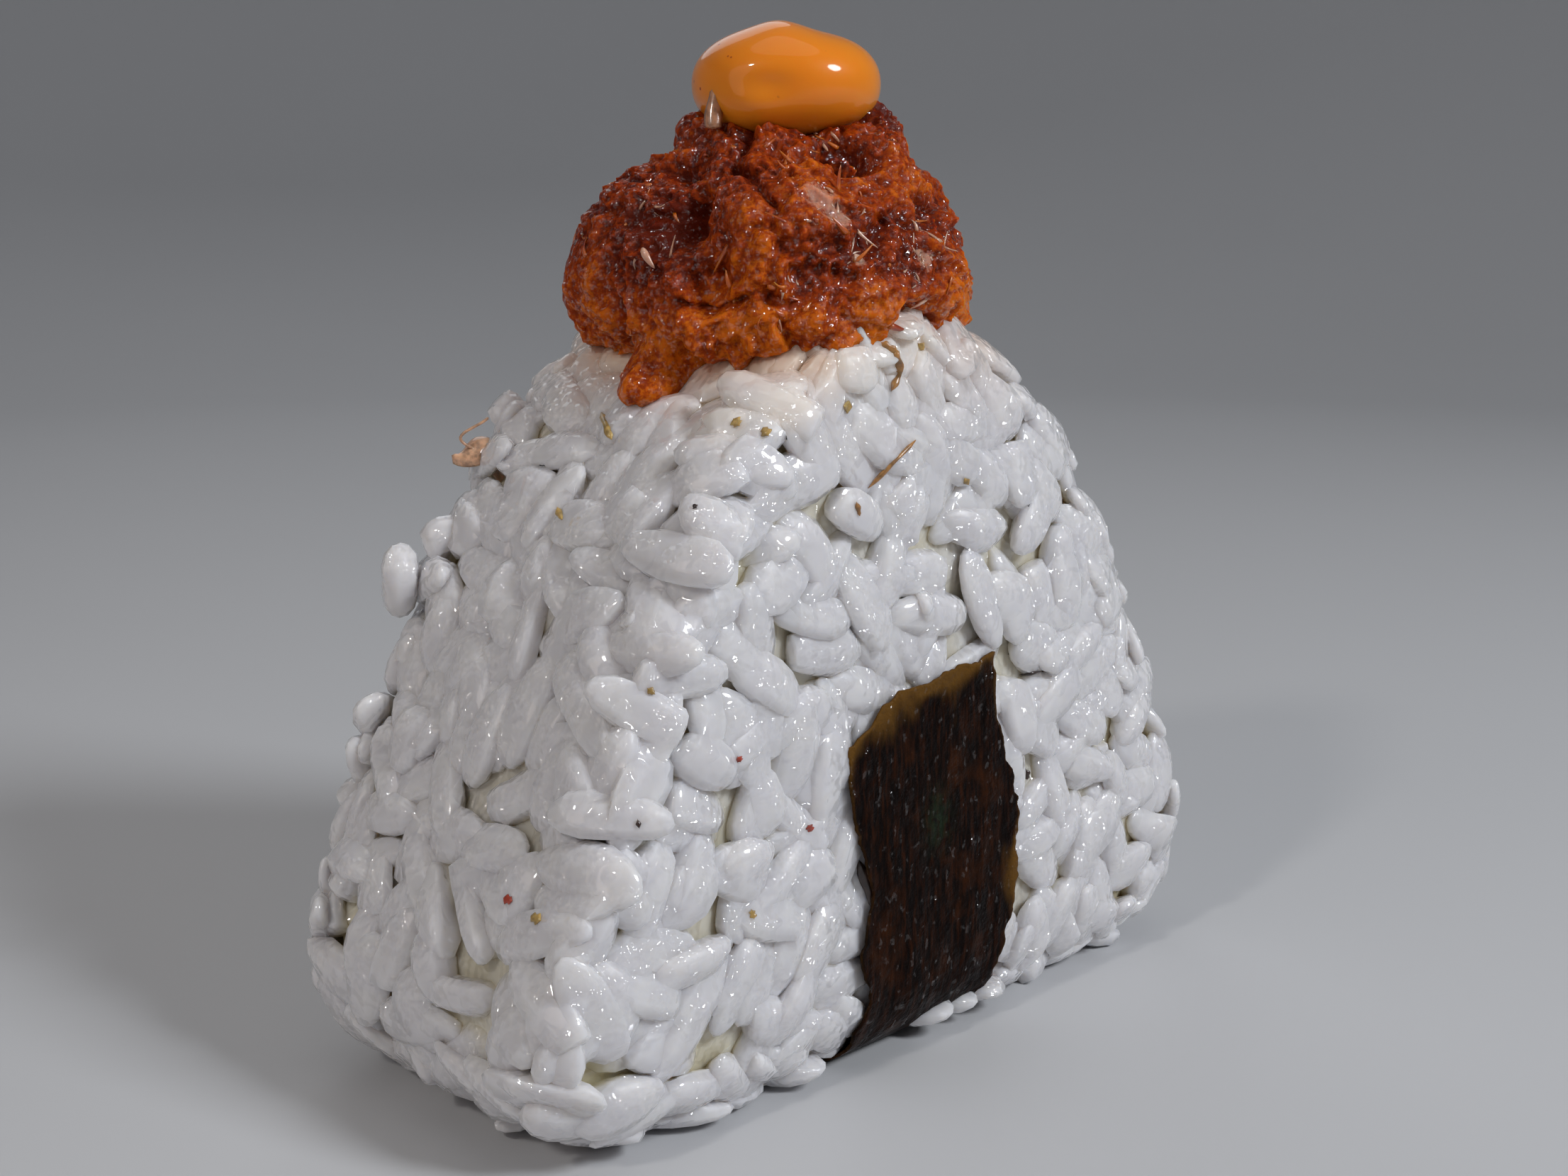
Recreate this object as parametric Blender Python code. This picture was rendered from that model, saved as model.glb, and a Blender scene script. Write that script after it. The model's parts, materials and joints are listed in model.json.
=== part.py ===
"""Spicy tuna rice ball: a pressed triangle of rice that stands on its base, with a
seaweed strip round its middle, a mound of minced tuna on its top and a drop of sauce.

X runs along the triangle's width, Y through its thickness and Z up. The origin is in
the middle of the base, on the table. The front face looks along -Y.
"""

import math

import bmesh
import bpy
import numpy as np
from mathutils import Matrix

MM = 0.001

# Rice body: the planes it was pressed between, and how round they leave it
PRESS_WIDTH = 81.6 * MM  # between the slanting sides, where they would meet the table
PRESS_THICKNESS = 33.1 * MM  # between the front and the back face, low down
PRESS_HEIGHT = 56.9 * MM
SIDE_LEAN = math.radians(23.6)
FACE_LEAN = math.radians(2.1)
BASE_SQUASH = 1.2 * MM  # how far the soft base would reach below the table
BODY_CENTRE = 23.8 * MM  # height of the point that the body is rounded about
FACE_LEAN_PIVOT = 8.0 * MM  # height at which the thickness is measured
OUTLINE_POWER = 3.42  # roundness of the triangle seen from the front
RIM_POWER = 9.7  # roundness of the rims of the two faces
FOOT_BEVEL = 26.9 * MM  # from the centre to the bevel where a face turns under the base

# Rice grains on the body
GRAIN_LENGTH = 7.8 * MM
GRAIN_WIDTH = 3.3 * MM
GRAIN_THICKNESS = 2.9 * MM
GRAIN_SIDES = 5
GRAIN_RING = 0.94  # size of a grain's two rings, of its full width and thickness
GRAIN_SINK = (-0.5 * MM, 0.15 * MM)  # how much higher or lower than the skin a grain's back lies
GRAIN_BOW = (0.05 * MM, 0.4 * MM)  # how far its tips bend down
GRAIN_TILT = math.radians(7)
GRAIN_TURN = 0.7  # how far, in radians, a grain strays from the way that its neighbours lie
GRAIN_SPACING = 2.55 * MM  # between the centre lines of neighbours
GRAIN_SEED = 11
# Whole grains are laid first, and broken ones fill the gaps: tries and length of each kind
GRAIN_ROUNDS = ((9000, 1.0), (7000, 0.6))
GRAIN_CLEARANCE = 0.4 * MM  # from a grain to the strip and the mound
CORE_INSET = 1.5 * MM  # from the grains' outer skin in to the core
SPHERE_DETAIL = 4  # subdivisions of the spheres that the core, the mound and the drop are made from
HALVINGS = 40  # of the range in which a ray meets the skin
BASE_CLEARANCE = 0.4 * MM  # no grain's middle is lower on the skin
TABLE_GAP = 0.05 * MM  # a grain by the base ends this far above the table

# Seaweed strip, from the front face under the base and up the back
# Distance along the strip from its front end, then its left and right edge along X, in mm
STRIP_OUTLINE = (
    (0, -8.4, 7.3),
    (5, -8.3, 7.4),
    (9, -7.8, 9.1),
    (15, -6.8, 9.9),
    (20, -7.4, 9.6),
    (24, -7.0, 8.4),
    (28, -7.5, 7.2),
    (36, -7.1, 8.2),
    (46, -7.7, 8.9),
    (56, -7.0, 8.1),
    (63, -7.6, 9.3),
    (72, -6.9, 9.0),
    (80, -8.1, 8.3),
    (90, -7.4, 7.6),
)
# Place along X and height of the torn ends, in mm
STRIP_FRONT_END = ((-8.4, 25.5), (-5.3, 27.7), (-0.2, 28.9), (7.3, 29.7))
STRIP_BACK_END = ((-8.0, 26.4), (-2.5, 28.9), (4.0, 28.2), (8.0, 26.8))
STRIP_TOP = 29.7 * MM
STRIP_WIDTH = 18.4 * MM  # over its widest places
STRIP_MIDDLE = 0.8 * MM  # their middle along X
STRIP_THICKNESS = 0.45 * MM
STRIP_UNDERSIDE = 0.2 * MM  # its height above the table
STRIP_ROWS = 38
STRIP_COLUMNS = 7
STRIP_BEND_WEIGHT = 9.0 * MM  # rows crowd where it bends: a radian counts as this much length
END_ROWS = 9  # rows over which the slant of an end dies out
STRIP_SIDE_GAP = 0.4 * MM  # the cut under the base is wider than the strip by this much a side
PAD_RISE = 0.7 * MM  # the core stands higher under the strip and the mound
PAD_EDGE = 2.5 * MM  # width over which the strip's pad dies out
CROWN = (48 * MM, 51 * MM)  # heights between which the pad under the mound rises
PATH_SAMPLES = 500

# Minced tuna and sauce
MOUND_CENTRE = np.array((0, 0, 58.5 * MM))
# Height angle in degrees, and the mince's mean radius there in mm
MOUND_PROFILE = (
    (-90, 12.0),
    (-38, 13.2),
    (-22, 16.0),
    (-8, 16.0),
    (12, 14.6),
    (36, 12.2),
    (57, 11.0),
    (74, 9.9),
    (90, 9.6),
)
# Lobes (+) and hollows (-) of the mince: view angle, height angle, size in mm, spread in degrees
MOUND_LOBES = (
    (57, 42, 2.1, 14),
    (35, 40, -3.0, 8),
    (62, 14, -0.6, 16),
    (78, -12, -0.9, 14),
    (-45, 33, -1.6, 9),
    (-31, 15, -2.0, 8),
    (-19, 0, -1.5, 7),
    (-80, -4, 0.7, 16),
    (-38, -31, 5.2, 8),
    (-22, -20, 1.2, 7),
    (-5, -21, 0.9, 6),
    (12, -19, 1.3, 8),
    (4, 14, 1.4, 16),
    (30, -6, 0.9, 11),
    (118, 22, 1.6, 16),
    (146, -12, 1.2, 12),
    (160, 36, 1.3, 13),
    (184, 4, -1.8, 10),
    (205, 20, 1.4, 14),
    (232, -10, 1.3, 12),
    (250, 26, -1.2, 10),
)
SAUCE_CENTRE = np.array((0.35 * MM, -0.35 * MM, 70.9 * MM))
SAUCE_HALF_WIDTH = 6.95 * MM
SAUCE_HALF_HEIGHT = 4.15 * MM
SAUCE_POWER = 2.2  # roundness of the drop
SAUCE_RIGHT = np.array((0.713, -0.701, 0))  # its long shoulder points this way
SAUCE_CREST = 0.4 * MM  # how much higher it is on the left
SAUCE_SHOULDER = 0.5 * MM  # how much lower its shoulder is
VIEW_SIDE = math.radians(-134.4)  # the side that the mound's lobes are named from

# A flake of fish that lies on the left shoulder: its root inside the rice and its tip, in mm
FLAKE_ROOT = (-17.2, 10.3, 43.2)
FLAKE_TIP = (-21.3, 12.9, 45.9)
FLAKE_WIDTH = 2.7 * MM
FLAKE_THICKNESS = 0.7 * MM
# Share of its length, and its width there as a share of the full width
FLAKE_RINGS = ((0, 0.75), (0.4, 1.0), (0.75, 0.9), (1.0, 0.45))

FIT_GAP = 0.35 * MM

RICE_WHITE = (0.83, 0.83, 0.81)
SEAWEED_BLACK = (0.03, 0.022, 0.012)
TUNA_RED = (0.52, 0.13, 0.03)
SAUCE_ORANGE = (0.9, 0.36, 0.06)


def clear_scene():
    for obj in list(bpy.data.objects):
        bpy.data.objects.remove(obj)


def finish_material(obj, name, colour, roughness):
    material = bpy.data.materials.new(name)
    material.use_nodes = True
    shader = material.node_tree.nodes["Principled BSDF"]
    shader.inputs["Base Color"].default_value = (*colour, 1)
    shader.inputs["Roughness"].default_value = roughness
    shader.inputs["Metallic"].default_value = 0
    obj.data.materials.clear()
    obj.data.materials.append(material)


def mesh_object(name, points, faces):
    mesh = bpy.data.meshes.new(name)
    mesh.from_pydata([tuple(p) for p in points], [], faces)
    mesh.update()
    obj = bpy.data.objects.new(name, mesh)
    bpy.context.scene.collection.objects.link(obj)
    return obj


def point_outwards(obj):
    shape = bmesh.new()
    shape.from_mesh(obj.data)
    bmesh.ops.recalc_face_normals(shape, faces=shape.faces)
    shape.to_mesh(obj.data)
    shape.free()


def cross_unit(a, b):
    across = np.cross(a, b)
    return across / np.linalg.norm(across, axis=-1)[..., None]


def sphere_directions(detail):
    """Unit directions and triangles of a sphere of even small triangles."""
    ball = bmesh.new()
    bmesh.ops.create_icosphere(ball, subdivisions=detail, radius=1)
    ball.verts.ensure_lookup_table()
    directions = np.array([v.co.normalized()[:] for v in ball.verts])
    faces = [[v.index for v in f.verts] for f in ball.faces]
    ball.free()
    return directions, faces


def pressed_gauge(points, inset):
    """1 on the pressed body's skin, less inside and more outside.

    Each pressing plane gives a share, the height along its normal over its distance.
    The four planes of the outline are blended by one power, and the two faces join
    them by a higher one, which keeps the rims crisper than the corners.
    """
    side = PRESS_WIDTH / 2 * math.cos(SIDE_LEAN) - BODY_CENTRE * math.sin(SIDE_LEAN) - inset
    face = (
        PRESS_THICKNESS / 2 * math.cos(FACE_LEAN)
        - (BODY_CENTRE - FACE_LEAN_PIVOT) * math.sin(FACE_LEAN)
        - inset
    )
    top = PRESS_HEIGHT - BODY_CENTRE - inset
    base = BODY_CENTRE + BASE_SQUASH
    x, y, z = points[..., 0], points[..., 1], points[..., 2] - BODY_CENTRE
    slope = np.abs(x) * math.cos(SIDE_LEAN) + z * math.sin(SIDE_LEAN)
    flat = np.abs(y) * math.cos(FACE_LEAN) + z * math.sin(FACE_LEAN)
    foot = (np.abs(y) - z) * math.sqrt(0.5)
    outline = (
        np.maximum(-z / base, 0) ** OUTLINE_POWER
        + np.maximum(z / top, 0) ** OUTLINE_POWER
        + np.maximum(slope / side, 0) ** OUTLINE_POWER
    )
    outline = outline ** (RIM_POWER / OUTLINE_POWER)
    rims = np.maximum(flat / face, 0) ** RIM_POWER
    rims = rims + np.maximum(foot / (FOOT_BEVEL - inset), 0) ** (2 * RIM_POWER)
    return (outline + rims) ** (1 / RIM_POWER)


def reach(start, direction, inset):
    """How far each ray can go before it meets the pressed skin, found by halving."""
    near = np.zeros(len(start))
    far = np.full(len(start), PRESS_WIDTH)
    for _ in range(HALVINGS):
        middle = (near + far) / 2
        inside = pressed_gauge(start + direction * middle[:, None], inset) < 1
        near = np.where(inside, middle, near)
        far = np.where(inside, far, middle)
    return near


def skin_points(directions, inset):
    centre = np.tile((0.0, 0.0, BODY_CENTRE), (len(directions), 1))
    points = centre + directions * reach(centre, directions, inset)[:, None]
    points[:, 2] = np.maximum(points[:, 2], 0)
    return points


def skin_normals(points):
    """Outward normals of the skin, from the gauge's slope."""
    step = 0.01 * MM
    slopes = []
    for axis in range(3):
        shift = np.zeros(3)
        shift[axis] = step
        slopes.append(pressed_gauge(points + shift, 0) - pressed_gauge(points - shift, 0))
    normals = np.stack(slopes, axis=1)
    return normals / np.linalg.norm(normals, axis=1)[:, None]


def smooth_step(value, low, high):
    share = np.clip((value - low) / (high - low), 0, 1)
    return share * share * (3 - 2 * share)


def pad_height(points):
    """How far the core rises towards the skin, under the strip and under the mound."""
    across = np.abs(points[:, 0] - STRIP_MIDDLE)
    strip = 1 - smooth_step(across, STRIP_WIDTH / 2, STRIP_WIDTH / 2 + PAD_EDGE)
    strip = strip * (1 - smooth_step(points[:, 2], STRIP_TOP, STRIP_TOP + PAD_EDGE))
    crown = smooth_step(points[:, 2], *CROWN)
    return PAD_RISE * np.maximum(strip, crown)


def core_points(directions, out=0.0):
    """The core's skin: the pressed skin, sunk by the inset less the pads."""
    low = skin_points(directions, CORE_INSET - out)
    high = skin_points(directions, CORE_INSET - out - PAD_RISE)
    share = (pad_height(low) / PAD_RISE)[:, None]
    return low * (1 - share) + high * share


def make_core():
    directions, faces = sphere_directions(SPHERE_DETAIL)
    return mesh_object("rice", core_points(directions), faces)


def strip_section(column_x, angle, out):
    """Points at a place along X and an angle round the body, just off the core."""
    start = np.stack([column_x, 0 * column_x, np.full(len(column_x), BODY_CENTRE)], axis=1)
    direction = np.stack([0 * angle, np.cos(angle), np.sin(angle)], axis=1)
    inset = CORE_INSET - PAD_RISE - FIT_GAP - out
    return start + direction * reach(start, direction, inset)[:, None]


def face_angle(height):
    """Angle round the body of a height on its back face; the front face mirrors it."""
    return np.arctan((height - BODY_CENTRE) / (PRESS_THICKNESS / 2))


def strip_rows():
    """Each row's angle round the body and its distance along the strip."""
    top = face_angle(STRIP_TOP)
    angles = np.linspace(math.pi - top, 2 * math.pi + top, PATH_SAMPLES)
    path = strip_section(np.full(len(angles), STRIP_MIDDLE), angles, 0)
    path[:, 2] = np.maximum(path[:, 2], STRIP_UNDERSIDE)
    step = np.diff(path, axis=0)
    length = np.linalg.norm(step, axis=1)
    turn = np.abs(np.diff(np.unwrap(np.arctan2(step[:, 2], step[:, 1])), prepend=0))
    turn[0] = 0
    along = np.concatenate([[0], np.cumsum(length)])
    weight = np.concatenate([[0], np.cumsum(length + STRIP_BEND_WEIGHT * turn)])
    even = np.linspace(0, weight[-1], STRIP_ROWS)
    return np.interp(even, weight, angles), np.interp(even, weight, along)


def strip_grid(out, floor):
    """Points of the strip's rows from its front end to its back end, ragged at the edges."""
    angles, along = strip_rows()
    places, left, right = np.array(STRIP_OUTLINE).T * MM
    columns = np.linspace(0, 1, STRIP_COLUMNS)
    front_x, front_z = np.array(STRIP_FRONT_END).T * MM
    back_x, back_z = np.array(STRIP_BACK_END).T * MM
    rows = []
    for row in range(STRIP_ROWS):
        low = np.interp(along[row], places, left)
        high = np.interp(along[row], places, right)
        x = low + (high - low) * columns
        front_slant = math.pi - face_angle(np.interp(x, front_x, front_z)) - angles[0]
        back_slant = 2 * math.pi + face_angle(np.interp(x, back_x, back_z)) - angles[-1]
        near_front = max(0, 1 - row / END_ROWS)
        near_back = max(0, 1 - (STRIP_ROWS - 1 - row) / END_ROWS)
        points = strip_section(x, angles[row] + front_slant * near_front + back_slant * near_back, out)
        points[:, 2] = np.maximum(points[:, 2], floor)
        rows.append(points)
    return np.array(rows)


def shell_between(name, inner, outer):
    """A closed sheet from two equal grids of points, both split into triangles alike."""
    rows, columns = inner.shape[:2]
    count = rows * columns
    points = np.concatenate([inner.reshape(-1, 3), outer.reshape(-1, 3)])
    faces = []
    for row in range(rows - 1):
        for column in range(columns - 1):
            a = row * columns + column
            b, c, d = a + 1, a + columns + 1, a + columns
            faces += [(a, b, c), (a, c, d)]
            faces += [(count + a, count + c, count + b), (count + a, count + d, count + c)]
    rim = list(range(columns))
    rim += [r * columns + columns - 1 for r in range(1, rows)]
    rim += [(rows - 1) * columns + c for c in range(columns - 2, -1, -1)]
    rim += [r * columns for r in range(rows - 2, 0, -1)]
    for a, b in zip(rim, rim[1:] + rim[:1]):
        faces += [(b, a, count + a), (b, count + a, count + b)]
    obj = mesh_object(name, points, faces)
    point_outwards(obj)
    return obj


def make_strip():
    inner = strip_grid(0, STRIP_UNDERSIDE + STRIP_THICKNESS)
    outer = strip_grid(STRIP_THICKNESS, STRIP_UNDERSIDE)
    return shell_between("seaweed_strip", inner, outer)


def make_strip_seat():
    """The room that the strip takes under the core's base, cut across it."""
    half = STRIP_WIDTH / 2 + STRIP_SIDE_GAP
    depth = STRIP_UNDERSIDE + STRIP_THICKNESS + FIT_GAP
    bpy.ops.mesh.primitive_cube_add(size=1)
    seat = bpy.context.object
    seat.name = "strip_seat"
    seat.scale = (2 * half, PRESS_THICKNESS * 1.5, 2 * depth)
    seat.location = (STRIP_MIDDLE, 0, 0)
    bpy.context.view_layer.update()
    seat.data.transform(seat.matrix_world)
    seat.matrix_world = Matrix.Identity(4)
    return seat


def around(view_angle, height_angle):
    """A unit direction: degrees to the right as the mound is viewed, and up."""
    turn = VIEW_SIDE + math.radians(view_angle)
    lift = math.radians(height_angle)
    return np.array([math.cos(turn) * math.cos(lift), math.sin(turn) * math.cos(lift), math.sin(lift)])


def mound_radius(directions):
    """Radius of the mince in each direction: the mean profile with lobes and hollows."""
    lift = np.degrees(np.arcsin(np.clip(directions[:, 2], -1, 1)))
    heights, radii = np.array(MOUND_PROFILE).T
    radius = np.interp(lift, heights, radii)
    for view, height, size, spread in MOUND_LOBES:
        angle = np.degrees(np.arccos(np.clip(directions @ around(view, height), -1, 1)))
        radius = radius + size * np.exp(-((angle / spread) ** 2))
    return radius * MM


def mound_gauge(points):
    """How far each point is outside the mince, along a line from its centre."""
    away = points - MOUND_CENTRE
    length = np.linalg.norm(away, axis=1)
    return length - mound_radius(away / length[:, None])


def mound_object(name, out=0.0):
    directions, faces = sphere_directions(SPHERE_DETAIL)
    points = MOUND_CENTRE + directions * (mound_radius(directions) + out)[:, None]
    return mesh_object(name, points, faces)


def make_flake():
    """A curled flake of fish that stands on the rice: a bent blade of four rings."""
    root, tip = np.array(FLAKE_ROOT) * MM, np.array(FLAKE_TIP) * MM
    length = tip - root
    across = cross_unit(length, np.array((0.2, 0.4, 1.0)))
    through = cross_unit(length, across)
    points = []
    for share, wide in FLAKE_RINGS:
        middle = root + length * share + through * FLAKE_THICKNESS * math.sin(5 * share)
        for a, b in ((-1, -1), (1, -1), (1, 1), (-1, 1)):
            points.append(middle + (across * a * FLAKE_WIDTH * wide + through * b * FLAKE_THICKNESS) / 2)
    faces = [(0, 1, 2), (0, 2, 3), (12, 14, 13), (12, 15, 14)]
    for ring in range(3):
        for corner in range(4):
            a = ring * 4 + corner
            b = ring * 4 + (corner + 1) % 4
            faces += [(a, a + 4, b + 4), (a, b + 4, b)]
    obj = mesh_object("flake", points, faces)
    point_outwards(obj)
    return obj


def sauce_points(directions):
    """The drop of sauce: a lopsided flat egg, higher on the left and fuller on the right."""
    side = directions @ SAUCE_RIGHT
    deep = directions @ np.cross((0, 0, 1.0), SAUCE_RIGHT)
    up = directions[:, 2]
    flat = (np.abs(side) ** SAUCE_POWER + np.abs(deep) ** SAUCE_POWER) / SAUCE_HALF_WIDTH**SAUCE_POWER
    tall = np.abs(up) ** SAUCE_POWER / SAUCE_HALF_HEIGHT**SAUCE_POWER
    radius = (flat + tall) ** (-1 / SAUCE_POWER)
    crest = np.exp(-(((side + 0.15) / 0.4) ** 2)) * smooth_step(up, 0.2, 0.9)
    shoulder = np.exp(-(((side - 0.6) / 0.3) ** 2)) * smooth_step(up, 0.0, 0.7)
    radius = radius + SAUCE_CREST * crest - SAUCE_SHOULDER * shoulder
    return SAUCE_CENTRE + directions * radius[:, None]


def make_sauce():
    directions, faces = sphere_directions(SPHERE_DETAIL)
    return mesh_object("sauce_drop", sauce_points(directions), faces)


def grain_shape(length, width, thickness, bow):
    """A rice grain along X: two rings between two tips, bowed down towards the tips."""
    points = [(-length / 2, 0, -bow)]
    for share in (-0.5, 0.5):
        for corner in range(GRAIN_SIDES):
            turn = 2 * math.pi * corner / GRAIN_SIDES + math.pi / 2
            points.append(
                (
                    share * length / 2,
                    GRAIN_RING * math.cos(turn) * width / 2,
                    GRAIN_RING * math.sin(turn) * thickness / 2 - bow * share * share,
                )
            )
    points.append((length / 2, 0, -bow))
    last = len(points) - 1
    faces = []
    for corner in range(GRAIN_SIDES):
        after = (corner + 1) % GRAIN_SIDES
        near, far = 1 + corner, 1 + GRAIN_SIDES + corner
        near_after, far_after = 1 + after, 1 + GRAIN_SIDES + after
        faces += [(0, near_after, near), (near, near_after, far_after)]
        faces += [(near, far_after, far), (far, far_after, last)]
    return np.array(points), faces


def edge_samples(shape):
    """Points along the grain's long edges, from tip to tip."""
    first, near, far, last = shape[:1], shape[1 : 1 + GRAIN_SIDES], shape[1 + GRAIN_SIDES : -1], shape[-1:]
    samples = [shape]
    for a, b in ((first, near), (near, far), (far, last), (near, np.roll(near, 1, axis=0))):
        samples += [a + (b - a) * share for share in (0.2, 0.4, 0.6, 0.8)]
    return np.concatenate(samples)


def gap_between(start_a, end_a, starts, ends):
    """Least distance from one centre line to each of several, at seven points on each."""
    shares = np.linspace(0, 1, 7)[:, None]
    line = start_a * (1 - shares) + end_a * shares
    others = starts[:, None] * (1 - shares) + ends[:, None] * shares
    away = others[:, :, None, :] - line[None, None]
    return np.sqrt((away**2).sum(-1)).min(axis=(1, 2))


def on_strip(points, margin):
    near = np.abs(points[:, 0] - STRIP_MIDDLE) < STRIP_WIDTH / 2 + margin
    return near & (points[:, 2] < STRIP_TOP + margin)


def random_directions(draw, count):
    lift = np.arcsin(draw.uniform(-1, 1, count))
    turn = draw.uniform(0, 2 * math.pi, count)
    return np.stack([np.cos(turn) * np.cos(lift), np.sin(turn) * np.cos(lift), np.sin(lift)], axis=1)


def scatter_grains():
    """Meshes of grains that lie on the body at random, each clear of its neighbours' middles."""
    draw = np.random.default_rng(GRAIN_SEED)
    starts, ends, grains = [], [], []
    for tries, share in GRAIN_ROUNDS:
        places = skin_points(random_directions(draw, tries), 0)
        normals = skin_normals(places)
        lengths = GRAIN_LENGTH * share * draw.uniform(0.9, 1.1, tries)
        widths = GRAIN_WIDTH * draw.uniform(0.92, 1.1, tries)
        sinks = GRAIN_THICKNESS / 2 + draw.uniform(*GRAIN_SINK, tries)
        bows = draw.uniform(*GRAIN_BOW, tries)
        tilts = draw.normal(0, GRAIN_TILT, tries)
        # Neighbours tend to lie along each other, so the turn drifts slowly over the body
        drift = 2.2 * np.sin(places[:, 0] / (11 * MM)) + 1.7 * np.sin(places[:, 2] / (13 * MM) + 1)
        spins = drift + draw.normal(0, GRAIN_TURN, tries)
        tangents = cross_unit(normals, np.array((0.3, 0.9, 0.2)))
        sides = np.cross(normals, tangents)
        flat = np.cos(spins)[:, None] * tangents + np.sin(spins)[:, None] * sides
        axes = np.cos(tilts)[:, None] * flat + np.sin(tilts)[:, None] * normals
        across = cross_unit(normals, axes)
        outward = np.cross(axes, across)
        centres = places - normals * sinks[:, None]
        half = axes * (lengths / 2 - widths * 0.35)[:, None]
        for n in range(tries):
            if places[n, 2] < BASE_CLEARANCE:
                continue
            start, end = centres[n] - half[n], centres[n] + half[n]
            if grains and gap_between(start, end, np.array(starts), np.array(ends)).min() < GRAIN_SPACING:
                continue
            shape, faces = grain_shape(lengths[n], widths[n], GRAIN_THICKNESS, bows[n])
            shape = shape @ np.array([axes[n], across[n], outward[n]]) + centres[n]
            shape[:, 2] = np.maximum(shape[:, 2], TABLE_GAP)
            outline = edge_samples(shape)
            if on_strip(outline, GRAIN_CLEARANCE).any() or mound_gauge(outline).min() < GRAIN_CLEARANCE:
                continue
            starts.append(start)
            ends.append(end)
            grains.append((shape, faces))
    return grains


def apply_boolean(obj, operation, solver, other=None, collection=None):
    cut = obj.modifiers.new("Fit", "BOOLEAN")
    cut.operation = operation
    cut.solver = solver
    if collection:
        cut.operand_type = "COLLECTION"
        cut.collection = collection
    else:
        cut.object = other
    bpy.context.view_layer.update()
    fitted = bpy.data.meshes.new_from_object(obj.evaluated_get(bpy.context.evaluated_depsgraph_get()))
    obj.modifiers.clear()
    obj.data = fitted
    for used in list(collection.objects) if collection else [other]:
        bpy.data.objects.remove(used)
    if collection:
        bpy.data.collections.remove(collection)


def move_to(collection, obj):
    for holder in list(obj.users_collection):
        holder.objects.unlink(obj)
    collection.objects.link(obj)


def keep_largest_body(obj):
    """Drops the loose scraps and sealed pockets that fusing leaves."""
    shape = bmesh.new()
    shape.from_mesh(obj.data)
    bmesh.ops.triangulate(shape, faces=shape.faces)
    shape.verts.ensure_lookup_table()
    seen, groups = set(), []
    for first in shape.verts:
        if first in seen:
            continue
        group, queue = [], [first]
        seen.add(first)
        while queue:
            vert = queue.pop()
            group.append(vert)
            for edge in vert.link_edges:
                other = edge.other_vert(vert)
                if other not in seen:
                    seen.add(other)
                    queue.append(other)
        groups.append(group)
    groups.sort(key=len)
    loose = [v for group in groups[:-1] for v in group]
    bmesh.ops.delete(shape, geom=loose, context="VERTS")
    shape.to_mesh(obj.data)
    shape.free()


def make_rice():
    rice = make_core()
    apply_boolean(rice, "DIFFERENCE", "EXACT", make_strip_seat())
    pieces = bpy.data.collections.new("grains")
    bpy.context.scene.collection.children.link(pieces)
    for number, (points, faces) in enumerate(scatter_grains()):
        move_to(pieces, mesh_object(f"grain_{number}", points, faces))
    move_to(pieces, make_flake())
    apply_boolean(rice, "UNION", "MANIFOLD", collection=pieces)
    keep_largest_body(rice)
    return rice


def make_mound():
    mound = mound_object("tuna_mound")
    directions, faces = sphere_directions(SPHERE_DETAIL)
    seat = mesh_object("rice_seat", core_points(directions, FIT_GAP), faces)
    apply_boolean(mound, "DIFFERENCE", "EXACT", seat)
    keep_largest_body(mound)
    return mound


def make_drop():
    drop = make_sauce()
    apply_boolean(drop, "DIFFERENCE", "EXACT", mound_object("mound_seat", FIT_GAP))
    keep_largest_body(drop)
    return drop


def main():
    clear_scene()
    finish_material(make_rice(), "rice", RICE_WHITE, 0.35)
    finish_material(make_strip(), "seaweed", SEAWEED_BLACK, 0.45)
    finish_material(make_mound(), "tuna", TUNA_RED, 0.3)
    finish_material(make_drop(), "sauce", SAUCE_ORANGE, 0.12)


main()
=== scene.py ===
"""Spicy tuna rice ball: its rice grains, seaweed strip, minced tuna, sauce and scraps.

Sizes are in metres. X runs along the triangle's width, Y through its thickness and Z up from
the table. The front face, which carries the seaweed strip, looks along -Y.
"""

import json
import math

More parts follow.
